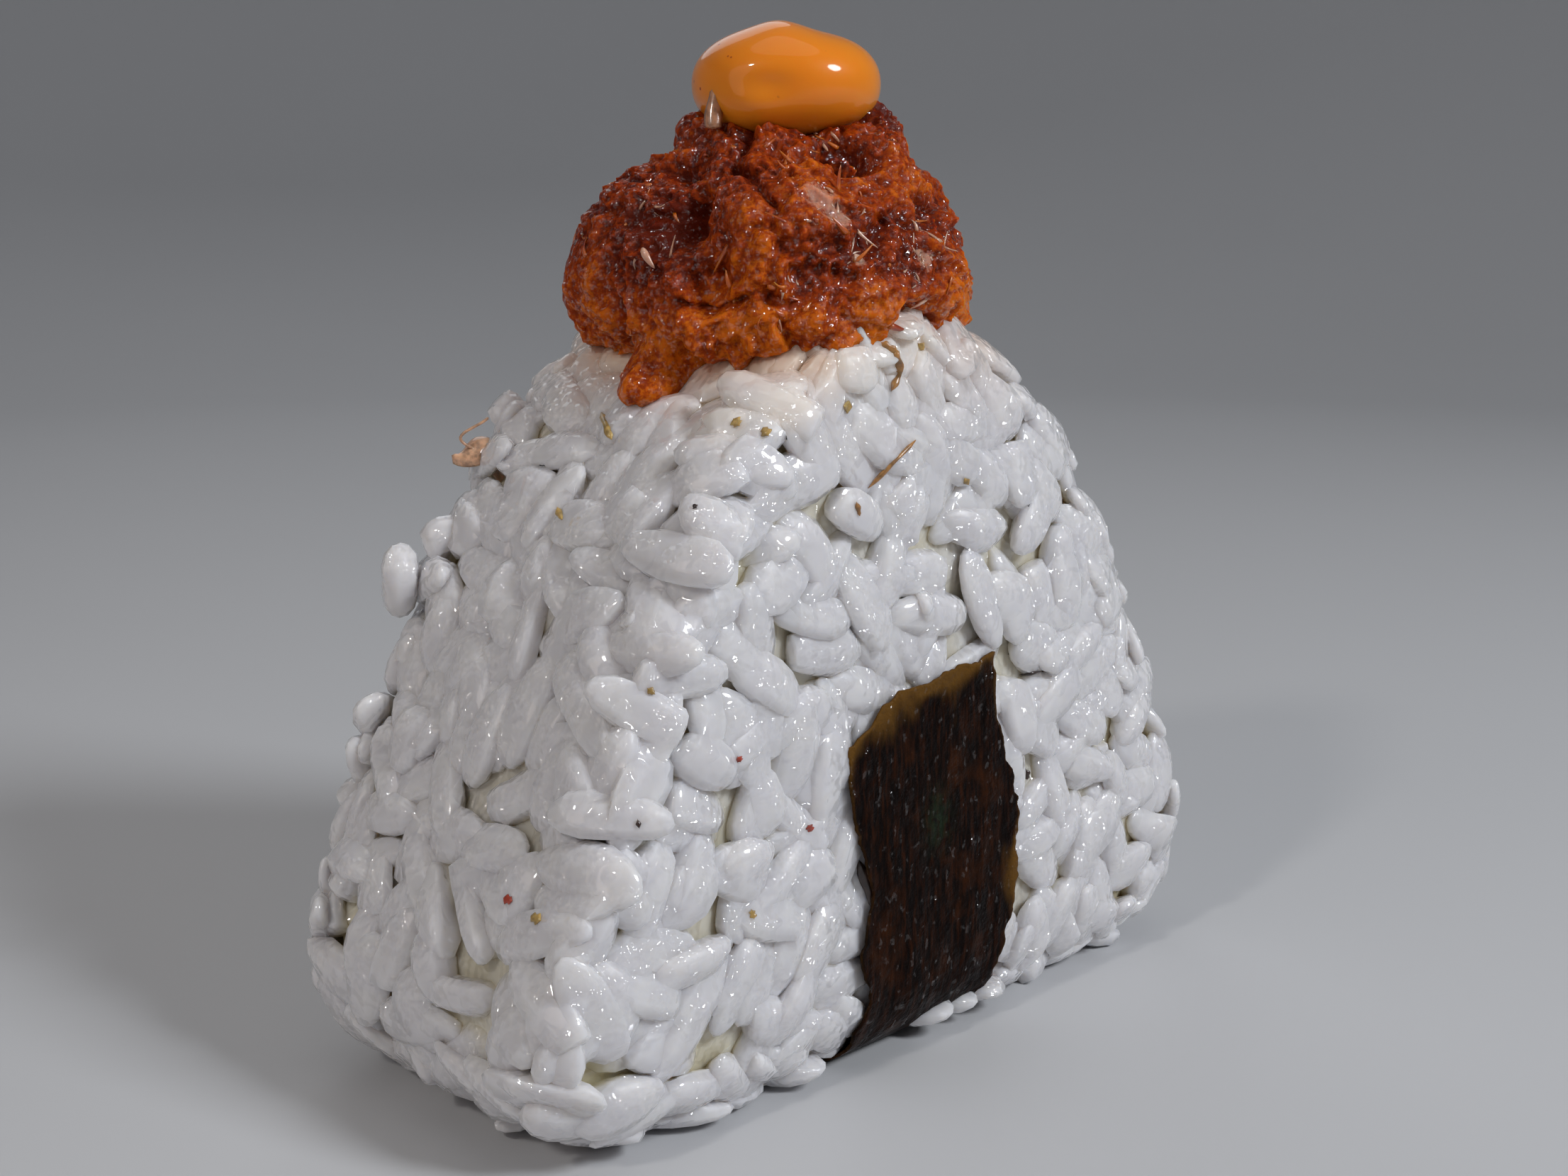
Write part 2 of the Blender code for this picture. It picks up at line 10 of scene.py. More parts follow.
import bpy
import numpy as np
from bpy.props import FloatProperty, FloatVectorProperty, IntProperty, PointerProperty
from bpy.types import Operator, Panel, PropertyGroup
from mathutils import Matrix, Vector

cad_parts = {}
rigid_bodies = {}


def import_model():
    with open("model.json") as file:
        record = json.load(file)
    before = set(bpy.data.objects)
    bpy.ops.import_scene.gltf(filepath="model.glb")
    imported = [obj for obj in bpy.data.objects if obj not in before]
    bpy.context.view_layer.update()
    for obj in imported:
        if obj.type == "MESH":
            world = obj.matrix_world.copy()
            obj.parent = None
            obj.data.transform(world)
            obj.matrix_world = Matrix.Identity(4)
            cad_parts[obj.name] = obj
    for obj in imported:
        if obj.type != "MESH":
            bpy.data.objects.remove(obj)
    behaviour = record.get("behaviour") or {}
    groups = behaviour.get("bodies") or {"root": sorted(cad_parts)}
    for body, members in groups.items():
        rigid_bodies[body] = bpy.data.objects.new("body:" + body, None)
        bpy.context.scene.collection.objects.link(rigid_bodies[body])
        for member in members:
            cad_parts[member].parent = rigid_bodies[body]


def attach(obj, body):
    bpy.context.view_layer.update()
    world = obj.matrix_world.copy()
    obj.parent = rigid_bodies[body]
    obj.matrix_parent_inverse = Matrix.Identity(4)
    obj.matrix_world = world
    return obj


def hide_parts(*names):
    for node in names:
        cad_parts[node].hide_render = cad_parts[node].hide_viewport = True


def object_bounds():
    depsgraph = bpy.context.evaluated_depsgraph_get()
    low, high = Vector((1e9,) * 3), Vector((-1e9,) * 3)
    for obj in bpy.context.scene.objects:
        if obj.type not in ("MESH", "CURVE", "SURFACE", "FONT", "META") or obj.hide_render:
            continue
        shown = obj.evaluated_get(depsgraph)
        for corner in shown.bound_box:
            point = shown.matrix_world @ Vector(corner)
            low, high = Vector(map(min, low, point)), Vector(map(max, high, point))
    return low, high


bl_info = {
    "name": "Spicy Tuna Rice Ball",
    "version": (1, 0, 0),
    "blender": (4, 5, 0),
    "location": "View3D > Sidebar > Rice Ball",
    "description": "Lays rice grains, seaweed, minced tuna and sauce round the rice ball's solids",
    "category": "Add Mesh",
}

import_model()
CAD_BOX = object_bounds()
MM = 0.001
UP = np.array((0.0, 0.0, 1.0))

# Rice body: the planes it was pressed between, and how round they leave it
PRESS_WIDTH = 81.6 * MM
PRESS_THICKNESS = 33.1 * MM
PRESS_HEIGHT = 56.9 * MM
SIDE_LEAN = math.radians(23.6)
FACE_LEAN = math.radians(2.1)
BASE_SQUASH = 1.2 * MM
BODY_CENTRE = 23.8 * MM
FACE_LEAN_PIVOT = 8.0 * MM
OUTLINE_POWER = 3.42
RIM_POWER = 9.7
FOOT_BEVEL = 26.9 * MM

# Seaweed strip: distance along it from its front end, then its left and right edge, in mm
STRIP_OUTLINE = (
    (0, -8.4, 7.3), (5, -8.3, 7.4), (9, -7.8, 9.1), (15, -6.8, 9.9), (20, -7.4, 9.6),
    (24, -7.0, 8.4), (28, -7.5, 7.2), (36, -7.1, 8.2), (46, -7.7, 8.9), (56, -7.0, 8.1),
    (63, -7.6, 9.3), (72, -6.9, 9.0), (80, -8.1, 8.3), (90, -7.4, 7.6),
)
STRIP_FRONT_END = ((-8.4, 25.5), (-5.3, 27.7), (-0.2, 28.9), (7.3, 29.7))
STRIP_BACK_END = ((-8.0, 26.4), (-2.5, 28.9), (4.0, 28.2), (8.0, 26.8))
STRIP_LEFT, STRIP_RIGHT = -8.4 * MM, 9.9 * MM
STRIP_TOP = 29.7 * MM
# The faint green patch on the front: its middle along X and up, and its half sizes
GREEN_PATCH = (0.6 * MM, 18.0 * MM, 1.2 * MM, 2.0 * MM)
STRIP_SINK = 0.25 * MM  # from the skin to the sheet's middle
STRIP_FLOOR = 0.3 * MM  # height of the sheet's underside above the table

# Minced tuna
MOUND_CENTRE = np.array((0, 0, 58.5 * MM))
MOUND_PROFILE = (
    (-90, 12.0), (-38, 13.2), (-22, 16.0), (-8, 16.0), (12, 14.6),
    (36, 12.2), (57, 11.0), (74, 9.9), (90, 9.6),
)
VIEW_SIDE = math.radians(-134.4)
MOUND_LOBES = (
    (57, 42, 2.1, 14), (35, 40, -3.0, 8), (62, 14, -0.6, 16), (78, -12, -0.9, 14),
    (-45, 33, -1.6, 9), (-31, 15, -2.0, 8), (-19, 0, -1.5, 7), (-80, -4, 0.7, 16),
    (-22, -20, 1.2, 7), (-5, -21, 0.9, 6), (12, -19, 1.3, 8), (4, 14, 1.4, 16),
    (30, -6, 0.9, 11), (118, 22, 1.6, 16), (146, -12, 1.2, 12), (160, 36, 1.3, 13),
    (184, 4, -1.8, 10), (205, 20, 1.4, 14), (232, -10, 1.3, 12), (250, 26, -1.2, 10),
    (44, -25, -4.2, 13), (92, 24, -1.5, 14), (88, 2, -1.0, 12), (88, 54, 3.0, 12),
    (-80, 58, 1.4, 12), (-85, -12, 0.5, 16), (-76, 20, 1.2, 12), (-30, 24, -1.7, 7),
    (-28, 8, -2.0, 7), (-22, -6, -1.5, 6),
)
MINCE_SINK = 0.95 * MM  # lets the relief's peaks end on the mound's mean surface
SINK_FADE = (math.radians(42), math.radians(62))  # heights between which it ends, under the sauce
RIM_WANDER = math.radians(4.5)
# The tongue that hangs over the rice: view angle, height angle and spread in degrees, size in mm
MOUND_TONGUE = (-41, -33, 9.5, 5.4)
# Places where the mince is smooth paste: view angle, height angle, spread in degrees
MOUND_SMOOTH = ((-82, -2, 15), (-41, -35, 13), (80, -12, 9), (196, 8, 14))
# Painted shade in the valleys, the cavity under the sauce and on the left side, away from the light: view
# angle, height angle, spread in degrees, strength
MOUND_PAINTED_SHADE = (
    (-84, -6, 22, 0.6), (-41, -35, 13, 0.2), (-32, 14, 9, 0.4), (-26, -2, 7, 0.3),
    (-45, 30, 12, 0.2), (35, 40, 8, 0.5),
)
# Pale fibrous patches: view angle, height angle, spread in degrees, strength
MOUND_PALE = (
    (11, 20, 7, 0.9), (18, 12, 6, 0.8), (22, 1, 3, 0.9), (47, 0, 5, 0.9),
    (-14, 34, 5, 0.5), (27, -14, 5, 0.6), (130, 10, 7, 0.9), (200, 24, 8, 0.9),
    (262, 2, 6, 0.8),
)

# Sauce
SAUCE_CENTRE = np.array((0.35 * MM, -0.35 * MM, 70.9 * MM))


def length(name, millimetres, description):
    return FloatProperty(
        name=name, description=description, default=millimetres * MM, min=0, precision=5, unit="LENGTH"
    )


def colour(name, value, description):
    return FloatVectorProperty(
        name=name, description=description, default=value, min=0, max=1, size=3, subtype="COLOR"
    )


def count(name, value, description):
    return IntProperty(name=name, description=description, default=value, min=0)


class RiceSettings(PropertyGroup):
    grain_length: length("Grain length", 8.3, "Length of a whole cooked grain")
    grain_width: length("Grain width", 3.65, "Width of a grain")
    grain_thickness: length("Grain thickness", 2.0, "Thickness of a grain, across its flat side")
    outer_count: count("Top grains", 330, "Grains of the outer bed")
    inner_count: count("Middle grains", 330, "Grains of the second bed, a little deeper")
    filler_count: count("Lower grains", 420, "Grains of the deepest bed, which fill the gaps")
    outer_colour: colour("Grain", (0.69, 0.67, 0.685), "Colour of a grain on the outside")
    milky_colour: colour("Milky", (0.80, 0.78, 0.74), "Colour of a grain's milky parts")
    # Painted shade: the warm dim colour that the rice takes deep in the gaps between grains
    gap_shade_colour: colour("Gap", (0.66, 0.59, 0.40), "Colour of the starchy rice deep in the gaps")
    cream_colour: colour("Cream", (0.86, 0.78, 0.70), "Colour of the cream smeared under the tuna")
    stain_colour: colour("Stain", (0.82, 0.50, 0.26), "Colour that sauce gives the grains next to the tuna")


class SeaweedSettings(PropertyGroup):
    thickness: length("Sheet thickness", 0.22, "Thickness of the seaweed sheet")
    wrinkle: length("Wrinkles", 0.16, "Height of the sheet's wrinkles")
    dark_colour: colour("Dark", (0.003, 0.0012, 0.0008), "Colour where the sheet is thick")
    brown_colour: colour("Brown", (0.026, 0.007, 0.002), "Colour of its lighter fibres")
    rust_colour: colour("Rust", (0.055, 0.015, 0.003), "Colour of its thinner, redder patches")
    amber_colour: colour("Amber", (0.12, 0.055, 0.010), "Colour where light comes through thin places")
    green_colour: colour("Green", (0.014, 0.026, 0.012), "Colour of its faint green patches")


class TunaSettings(PropertyGroup):
    shred_count: count("Shreds", 130, "Thin strands that stick out of the mince")
    # Deep: the mince's own dark red, also laid as painted shade in its folds and valleys
    dark_colour: colour("Deep", (0.10, 0.008, 0.001), "Colour in the folds and where the mince is thick")
    red_colour: colour("Red", (0.29, 0.034, 0.001), "Main colour of the mince")
    # Orange: the mince's own orange, also laid as a painted glow on its thin lobes and rims
    orange_colour: colour("Orange", (0.57, 0.125, 0.004), "Colour of its thin lobes and rims")
    pale_colour: colour("Pale", (0.66, 0.38, 0.27), "Colour of its pale fibres")
    fibre_colour: colour("Fibre", (0.50, 0.22, 0.13), "Darker colour along the pale fibres")
    flake_colour: colour("Flake", (0.80, 0.46, 0.27), "Colour of the flake on the shoulder")
    strip_colour: colour("Strip", (0.52, 0.24, 0.12), "Colour of the shred beside the sauce")


class SauceSettings(PropertyGroup):
    half_width: length("Half width", 6.95, "Half the drop's width")
    half_height: length("Half height", 4.15, "Half the drop's height before it settles")
    body_colour: colour("Sauce", (0.82, 0.235, 0.012), "Colour of the sauce")
    deep_colour: colour("Deep", (0.76, 0.25, 0.010), "Colour of its deeper swirls")
    dot_colour: colour("Dots", (0.35, 0.05, 0.01), "Colour of the chilli specks in it")


class StageSettings(PropertyGroup):
    floor_colour: colour("Floor", (0.58, 0.58, 0.59), "Colour of the pale floor")
    bowl_radius: length("Bowl radius", 900, "Distance to where the floor has turned up into a wall")


class RiceBallSettings(PropertyGroup):
    """All of the rice ball's settings, kept on the scene"""

    rice: PointerProperty(type=RiceSettings, name="Rice", description="Grains and their colours")
    seaweed: PointerProperty(type=SeaweedSettings, name="Seaweed", description="The strip of seaweed")
    tuna: PointerProperty(type=TunaSettings, name="Tuna", description="The mound of minced tuna")
    sauce: PointerProperty(type=SauceSettings, name="Sauce", description="The drop of sauce")
    stage: PointerProperty(type=StageSettings, name="Stage", description="Floor and lights")


def settings():
    return bpy.context.scene.rice_ball


def smooth_step(value, low, high):
    part = np.clip((value - low) / (high - low), 0, 1)
    return part * part * (3 - 2 * part)


def xyz(*parts):
    """Points or vectors from their parts, each an array or one number for all."""
    return np.stack(np.broadcast_arrays(*parts), axis=-1)


def hump(value, middle, spread):
    return np.exp(-(((value - middle) / spread) ** 2))


def unit(vectors):
    return vectors / np.linalg.norm(vectors, axis=-1)[..., None]


def lattice_values(cells, seed):
    """A number from -1 to 1 for each whole-number cell: its three numbers are mixed by large odd
    factors and shifts, and 16 bits of the result are kept."""
    cells = cells.astype(np.int64)
    mixed = cells[..., 0] * 73856093 ^ cells[..., 1] * 19349663 ^ cells[..., 2] * 83492791
    mixed = (mixed ^ (seed * 40503)) & 0x7FFFFFFF
    mixed = ((mixed ^ (mixed >> 13)) * 1274126177) & 0x7FFFFFFF
    mixed = ((mixed ^ (mixed >> 15)) * 668265263) & 0x7FFFFFFF
    return ((mixed >> 8) & 0xFFFF) / 32767.5 - 1


def noise(points, size, seed):
    """Smooth noise from about -1 to 1: values at the corners of cells of this size, blended by
    a smooth step along each axis."""
    spot = points / size
    cell = np.floor(spot)
    part = spot - cell
    part = part * part * (3 - 2 * part)
    total = np.zeros(points.shape[:-1])
    for corner in np.ndindex(2, 2, 2):
        weight = np.prod(np.where(np.array(corner) == 1, part, 1 - part), axis=-1)
        total = total + weight * lattice_values(cell + corner, seed)
    return total


def rough_noise(points, size, seed, octaves):
    """Noise summed over octaves, each with half the size and half the height of the last."""
    total = sum(noise(points, size / 2**n, seed + n) / 2**n for n in range(octaves))
    return total / 1.5


def cell_distance(points, size, seed):
    """Distance to the nearest of scattered centres, one in each cell, as a share of the size."""
    spot = points / size
    cell = np.floor(spot)
    nearest = np.full(points.shape[:-1], 9.0)
    for step in np.ndindex(3, 3, 3):
        near = cell + np.array(step) - 1
        centre = near + 0.5 + 0.42 * xyz(*(lattice_values(near, seed + k) for k in range(3)))
        nearest = np.minimum(nearest, np.linalg.norm(spot - centre, axis=-1))
    return nearest


def pressed_gauge(points, inset=0.0):
    """1 on the pressed body's skin, less inside. Each pressing plane gives the height along its
    normal over its distance; the outline's planes are blended by one power, the two faces and
    the bevels at their feet by higher ones."""
    side = PRESS_WIDTH / 2 * math.cos(SIDE_LEAN) - BODY_CENTRE * math.sin(SIDE_LEAN) - inset
    face = PRESS_THICKNESS / 2 * math.cos(FACE_LEAN) - inset
    face = face - (BODY_CENTRE - FACE_LEAN_PIVOT) * math.sin(FACE_LEAN)
    top = PRESS_HEIGHT - BODY_CENTRE - inset
    base = BODY_CENTRE + BASE_SQUASH
    x, y, z = points[..., 0], points[..., 1], points[..., 2] - BODY_CENTRE
    slope = np.abs(x) * math.cos(SIDE_LEAN) + z * math.sin(SIDE_LEAN)
    flat = np.abs(y) * math.cos(FACE_LEAN) + z * math.sin(FACE_LEAN)
    foot = (np.abs(y) - z) * math.sqrt(0.5)
    outline = (
        np.maximum(-z / base, 0) ** OUTLINE_POWER
        + np.maximum(z / top, 0) ** OUTLINE_POWER
        + np.maximum(slope / side, 0) ** OUTLINE_POWER
    )
    outline = outline ** (RIM_POWER / OUTLINE_POWER)
    rims = np.maximum(flat / face, 0) ** RIM_POWER
    rims = rims + np.maximum(foot / (FOOT_BEVEL - inset), 0) ** (2 * RIM_POWER)
    return (outline + rims) ** (1 / RIM_POWER)


HALVINGS = 26


def reach(start, direction, inset=0.0):
    """How far each ray goes before it meets the pressed skin, found by halving."""
    near = np.zeros(start.shape[:-1])
    far = np.full(start.shape[:-1], PRESS_WIDTH)
    for _ in range(HALVINGS):
        middle = (near + far) / 2
        inside = pressed_gauge(start + direction * middle[..., None], inset) < 1
        near = np.where(inside, middle, near)
        far = np.where(inside, far, middle)
    return near


def skin_points(directions, inset=0.0):
    centre = np.zeros(directions.shape) + UP * BODY_CENTRE
    points = centre + directions * reach(centre, directions, inset)[..., None]
    points[..., 2] = np.maximum(points[..., 2], 0)
    return points


def gauge_slope(points):
    step = 0.02 * MM
    slopes = [
        pressed_gauge(points + np.eye(3)[k] * step) - pressed_gauge(points - np.eye(3)[k] * step)
        for k in range(3)
    ]
    return xyz(*slopes) / (2 * step)


def skin_normals(points):
    """Outward normals of the pressed skin, and straight down where it rests on the table."""
    normals = unit(gauge_slope(points))
    resting = points[..., 2] < 1e-6
    normals[resting] = -UP
    return normals


def depth_below(points):
    """Distance of each point below the pressed skin, from the gauge and its slope."""
    distance = (1 - pressed_gauge(points)) / np.linalg.norm(gauge_slope(points), axis=-1)
    return np.minimum(distance, points[..., 2])


def directions_at(lift, turn):
    return xyz(np.cos(turn) * np.cos(lift), np.sin(turn) * np.cos(lift), np.sin(lift))


def even_lifts(rings):
    """The heights in radians of this many rings, spread evenly between the poles."""
    return np.radians(np.linspace(-90, 90, rings + 2)[1:-1])


def ball_directions(lifts, sides):
    """Directions on rings at these heights, with the lower and the upper pole last."""
    turn = 2 * np.pi * np.arange(sides) / sides
    grid = directions_at(*np.meshgrid(lifts, turn, indexing="ij")).reshape(-1, 3)
    return np.concatenate([grid, [-UP, UP]])


def around(view_angle, height_angle):
    """A unit direction from the mound's middle: degrees to the right as it is viewed, and up."""
    return directions_at(math.radians(height_angle), VIEW_SIDE + math.radians(view_angle))


def degrees_from(directions, view_angle, height_angle):
    return np.degrees(np.arccos(np.clip(directions @ around(view_angle, height_angle), -1, 1)))


def patch(directions, view_angle, height_angle, spread, power=2):
    """1 in the middle of a patch of the mound, fading to nought over its spread in degrees."""
    return np.exp(-((degrees_from(directions, view_angle, height_angle) / spread) ** power))


def read_values(items, key, size=1, kind=np.float32):
    """One array of a value that each vertex, edge, face or corner of a mesh has."""
    values = np.zeros(len(items) * size, dtype=kind)
    items.foreach_get(key, values)
    return values.reshape(-1, size) if size > 1 else values


def add_values(mesh, attributes):
    for key, values in attributes.items():
        layer = mesh.attributes.new(key, "FLOAT", "POINT")
        layer.data.foreach_set("value", np.asarray(values, dtype=np.float32).ravel())


def linked(name, data):
    obj = bpy.data.objects.new(name, data)
    bpy.context.scene.collection.objects.link(obj)
    return obj


def new_object(name, points, faces, attributes=None):
    """A smooth-shaded mesh object from whole arrays of points and faces."""
    mesh = bpy.data.meshes.new(name)
    mesh.from_pydata(points.reshape(-1, 3).astype(float), [], faces)
    add_values(mesh, attributes or {})
    mesh.shade_smooth()
    mesh.validate()
    return linked(name, mesh)


def ring_faces(rings, sides):
    """Faces of a closed tube of rings with a pole at each end: the poles are the last points."""
    ring, side = np.meshgrid(np.arange(rings - 1), np.arange(sides), indexing="ij")
    after = (side + 1) % sides
    quads = np.stack(
        [ring * sides + side, ring * sides + after, (ring + 1) * sides + after, (ring + 1) * sides + side],
        axis=-1,
    ).reshape(-1, 4)
    around_ring = np.arange(sides)
    next_one = (around_ring + 1) % sides
    first, last = rings * sides, rings * sides + 1
    top = (rings - 1) * sides
    start = np.stack([np.full(sides, first), next_one, around_ring], axis=-1)
    end = np.stack([np.full(sides, last), top + around_ring, top + next_one], axis=-1)
    return quads, np.concatenate([start, end])


def many_faces(rings, sides, copies):
    """The faces of that many closed tubes, one after another."""
    quads, triangles = ring_faces(rings, sides)
    step = (np.arange(copies) * (rings * sides + 2))[:, None, None]
    return (quads + step).reshape(-1, 4).tolist() + (triangles + step).reshape(-1, 3).tolist()


def finish_object(obj, material, replaced=None):
    obj.data.materials.append(material)
    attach(obj, "root")
    if replaced:
        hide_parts(replaced)


class Recipe:
    """A procedural material: its node tree, and short ways to add and join nodes."""

    def __init__(self, name, **sockets):
        self.material = bpy.data.materials.new(name)
        self.material.use_nodes = True
        self.nodes = self.material.node_tree.nodes
        self.links = self.material.node_tree.links
        self.shader = self.nodes["Principled BSDF"]
        self.place = self.add("ShaderNodeTexCoord").outputs["Object"]
        for key, value in sockets.items():
            self.shader.inputs[key.replace("_", " ")].default_value = value

    def add(self, kind, **settings_of_node):
        node = self.nodes.new(kind)
        for key, value in settings_of_node.items():
            setattr(node, key, value)
        return node

    def join(self, source, target):
        self.links.new(source, target)

    def attribute(self, name):
        return self.add("ShaderNodeAttribute", attribute_name=name).outputs["Fac"]

    def noise(self, size, detail=3.0, roughness=0.55, place=None, stretch=None):
        """Noise whose features measure about this size in metres."""
        node = self.add("ShaderNodeTexNoise")
        node.inputs["Scale"].default_value = 1 / size
        node.inputs["Detail"].default_value = detail
        node.inputs["Roughness"].default_value = roughness
        where = place or self.place
        if stretch:
            mapping = self.add("ShaderNodeMapping")
            mapping.inputs["Scale"].default_value = stretch
            self.join(where, mapping.inputs["Vector"])
            where = mapping.outputs["Vector"]
        self.join(where, node.inputs["Vector"])
        return node.outputs["Fac"]

    def cells(self, size):
        """Distance to the nearest of scattered centres about this far apart."""
        node = self.add("ShaderNodeTexVoronoi")
        node.inputs["Scale"].default_value = 1 / size
        self.join(self.place, node.inputs["Vector"])
        return node.outputs["Distance"]

    def span(self, source, low, high, to_low=0.0, to_high=1.0):
        """Maps the source from one range to another, smoothly and held at both ends."""
        node = self.add("ShaderNodeMapRange", interpolation_type="SMOOTHSTEP")
        for key, value in (("From Min", low), ("From Max", high), ("To Min", to_low), ("To Max", to_high)):
            node.inputs[key].default_value = value
        self.join(source, node.inputs["Value"])
        return node.outputs["Result"]

    def combine(self, a, b, operation="ADD"):
        """The sum or the product of two values; the second may be a plain number."""
        node = self.add("ShaderNodeMath", operation=operation)
        for source, target in zip((a, b), node.inputs):
            if isinstance(source, float):
                target.default_value = source
            else:
                self.join(source, target)
        return node.outputs["Value"]

    def mix(self, part, a, b):
        """Mixes two colours, each a colour or another node's output."""
        node = self.add("ShaderNodeMix", data_type="RGBA")
        self.join(part, node.inputs["Factor"])
        ends = [s for s in node.inputs if s.type == "RGBA"]
        for source, target in zip((a, b), ends):
            if isinstance(source, bpy.types.NodeSocket):
                self.join(source, target)
            else:
                target.default_value = (*source, 1)
        return next(s for s in node.outputs if s.type == "RGBA")

    def bump(self, height, distance, strength=1.0, under=None):
        node = self.add("ShaderNodeBump")
        node.inputs["Distance"].default_value = distance
        node.inputs["Strength"].default_value = strength
        self.join(height, node.inputs["Height"])
        if under:
            self.join(under, node.inputs["Normal"])
        return node.outputs["Normal"]

    def set(self, **sources):
        for key, source in sources.items():
            self.join(source, self.shader.inputs[key.replace("_", " ")])


def rice_material():
    """Cooked rice: milky, soft with light from inside, wet, with fine starchy bumps that glint, and painted
    warm shade deep in the gaps.
    """
    look = settings().rice
    recipe = Recipe(
        "cooked_rice",
        Roughness=0.42,
        IOR=1.38,
        Subsurface_Weight=0.9,
        Subsurface_Radius=(1.0, 0.92, 0.80),
        Subsurface_Scale=1.8 * MM,
        Coat_Weight=1.0,
        Coat_Roughness=0.06,
        Coat_IOR=1.75,
    )
    # Painted shade: the deeper the rice lies below the skin, in the gaps between grains, the more it takes
    # the gap shade colour
    deep = recipe.span(recipe.attribute("depth"), 1.1 * MM, 2.4 * MM)
    milky = recipe.span(recipe.noise(2.6 * MM, 2), 0.35, 0.7, 0.0, 0.3)
    outside = recipe.mix(milky, look.outer_colour, look.milky_colour)
    base = recipe.mix(deep, outside, look.gap_shade_colour)
    base = recipe.mix(recipe.attribute("stain"), base, look.stain_colour)
    base = recipe.mix(recipe.combine(recipe.attribute("cream"), 0.75, "MULTIPLY"), base, look.cream_colour)
    wet = recipe.span(recipe.noise(1.8 * MM, 1), 0.42, 0.56)
    glints = recipe.combine(recipe.noise(0.55 * MM, 0), wet, "MULTIPLY")
    recipe.set(Base_Color=base, Normal=recipe.bump(recipe.noise(1.2 * MM, 1), 0.12 * MM, 0.6))
    recipe.set(Coat_Normal=recipe.bump(glints, 0.65 * MM))
    return recipe.material


# A grain: how it tapers and how square its section is, its bow, and where broken ones end
LOZENGE_RINGS, LOZENGE_SIDES = 7, 10
END_POWER, TAPER_POWER, SECTION_POWER = 2.5, 0.55, 0.78
LOZENGE_WAVES = ((1, 0.10), (2, 0.11), (3, 0.08))  # times round the section, height
GRAIN_BOW = 0.3 * MM
BROKEN_SHARE = 0.4
BROKEN_END = (0.25, 0.42)  # distance from the middle as a share of the length


def lozenge_faces(copies):
    return many_faces(LOZENGE_RINGS, LOZENGE_SIDES, copies)


def lozenges(centres, axes, outwards, lengths, widths, thicknesses, seed):
    """Rice-like bodies, all at once. Along each body's axis t runs from -1 to 1, and its section
    is a squarish ellipse of the width and the thickness times (1 - |t| to the end power) to the
    taper power, uneven by a few slow waves. The middle bows outwards, and a plane cuts the end
    off broken ones."""
    draw = np.random.default_rng(seed)
    total = len(centres)
    rings, sides = LOZENGE_RINGS, LOZENGE_SIDES
    t = -np.cos(np.pi * (np.arange(rings) + 1) / (rings + 1))
    turn = 2 * np.pi * np.arange(sides) / sides
    size = (1 - np.abs(t) ** END_POWER) ** TAPER_POWER
    waves = np.zeros((total, rings, sides))
    for times, height in LOZENGE_WAVES:
        phase = draw.uniform(0, 2 * np.pi, (total, 1, 1))
        twist = draw.normal(0, 1.6, (total, 1, 1))
        strength = height * draw.uniform(0.3, 1.5, (total, 1, 1))
        waves += strength * np.cos(times * turn[None, None, :] + phase + twist * t[None, :, None])
    pinch = 1 + draw.normal(0, 0.11, (total, 1)) * t[None, :]
    dent = draw.normal(0, 0.09, (total, 1))
    pinch = pinch + dent * np.sin(2.2 * t[None, :] + draw.uniform(0, 6, (total, 1)))
    ring_size = (size[None, :] * pinch)[:, :, None] * (1 + waves)
    lean = draw.normal(0, 0.06, (total, 1, 1))
    x = t[None, :, None] * np.ones((1, 1, sides)) / 2 * lengths[:, None, None]
    across = np.sign(np.cos(turn)) * np.abs(np.cos(turn)) ** SECTION_POWER
    above = np.sign(np.sin(turn)) * np.abs(np.sin(turn)) ** SECTION_POWER
    y = ring_size * across / 2 * widths[:, None, None] + lean * x
    z = ring_size * above / 2 * thicknesses[:, None, None]
    tips = np.zeros((total, 2, 3))
    tips[:, :, 0] = np.array((-0.5, 0.5)) * lengths[:, None]
    tips[:, :, 1] = lean[:, :, 0] * tips[:, :, 0]
    body = np.concatenate([xyz(x, y, z).reshape(total, -1, 3), tips], axis=1)
    along = body[..., 0] / lengths[:, None] * 2
    bows = GRAIN_BOW * draw.uniform(-0.4, 1.5, total)
    body[..., 2] -= bows[:, None] * along**2
    body[..., 1] -= 0.5 * bows[:, None] * along**2 * draw.choice((-1, 1), total)[:, None]
    broken = draw.random(total) < BROKEN_SHARE
    cut = np.where(broken, draw.uniform(*BROKEN_END, total) * lengths, lengths)
    plane = cut[:, None] + draw.normal(0, 0.25, total)[:, None] * body[..., 1]
    body[..., 0] = np.minimum(body[..., 0], plane + 0.15 * (body[..., 0] - plane))
    beside = unit(np.cross(outwards, axes))
    frames = np.stack([axes, beside, np.cross(axes, beside)], axis=1)
    return np.einsum("npk,nkj->npj", body, frames) + centres[:, None, :]


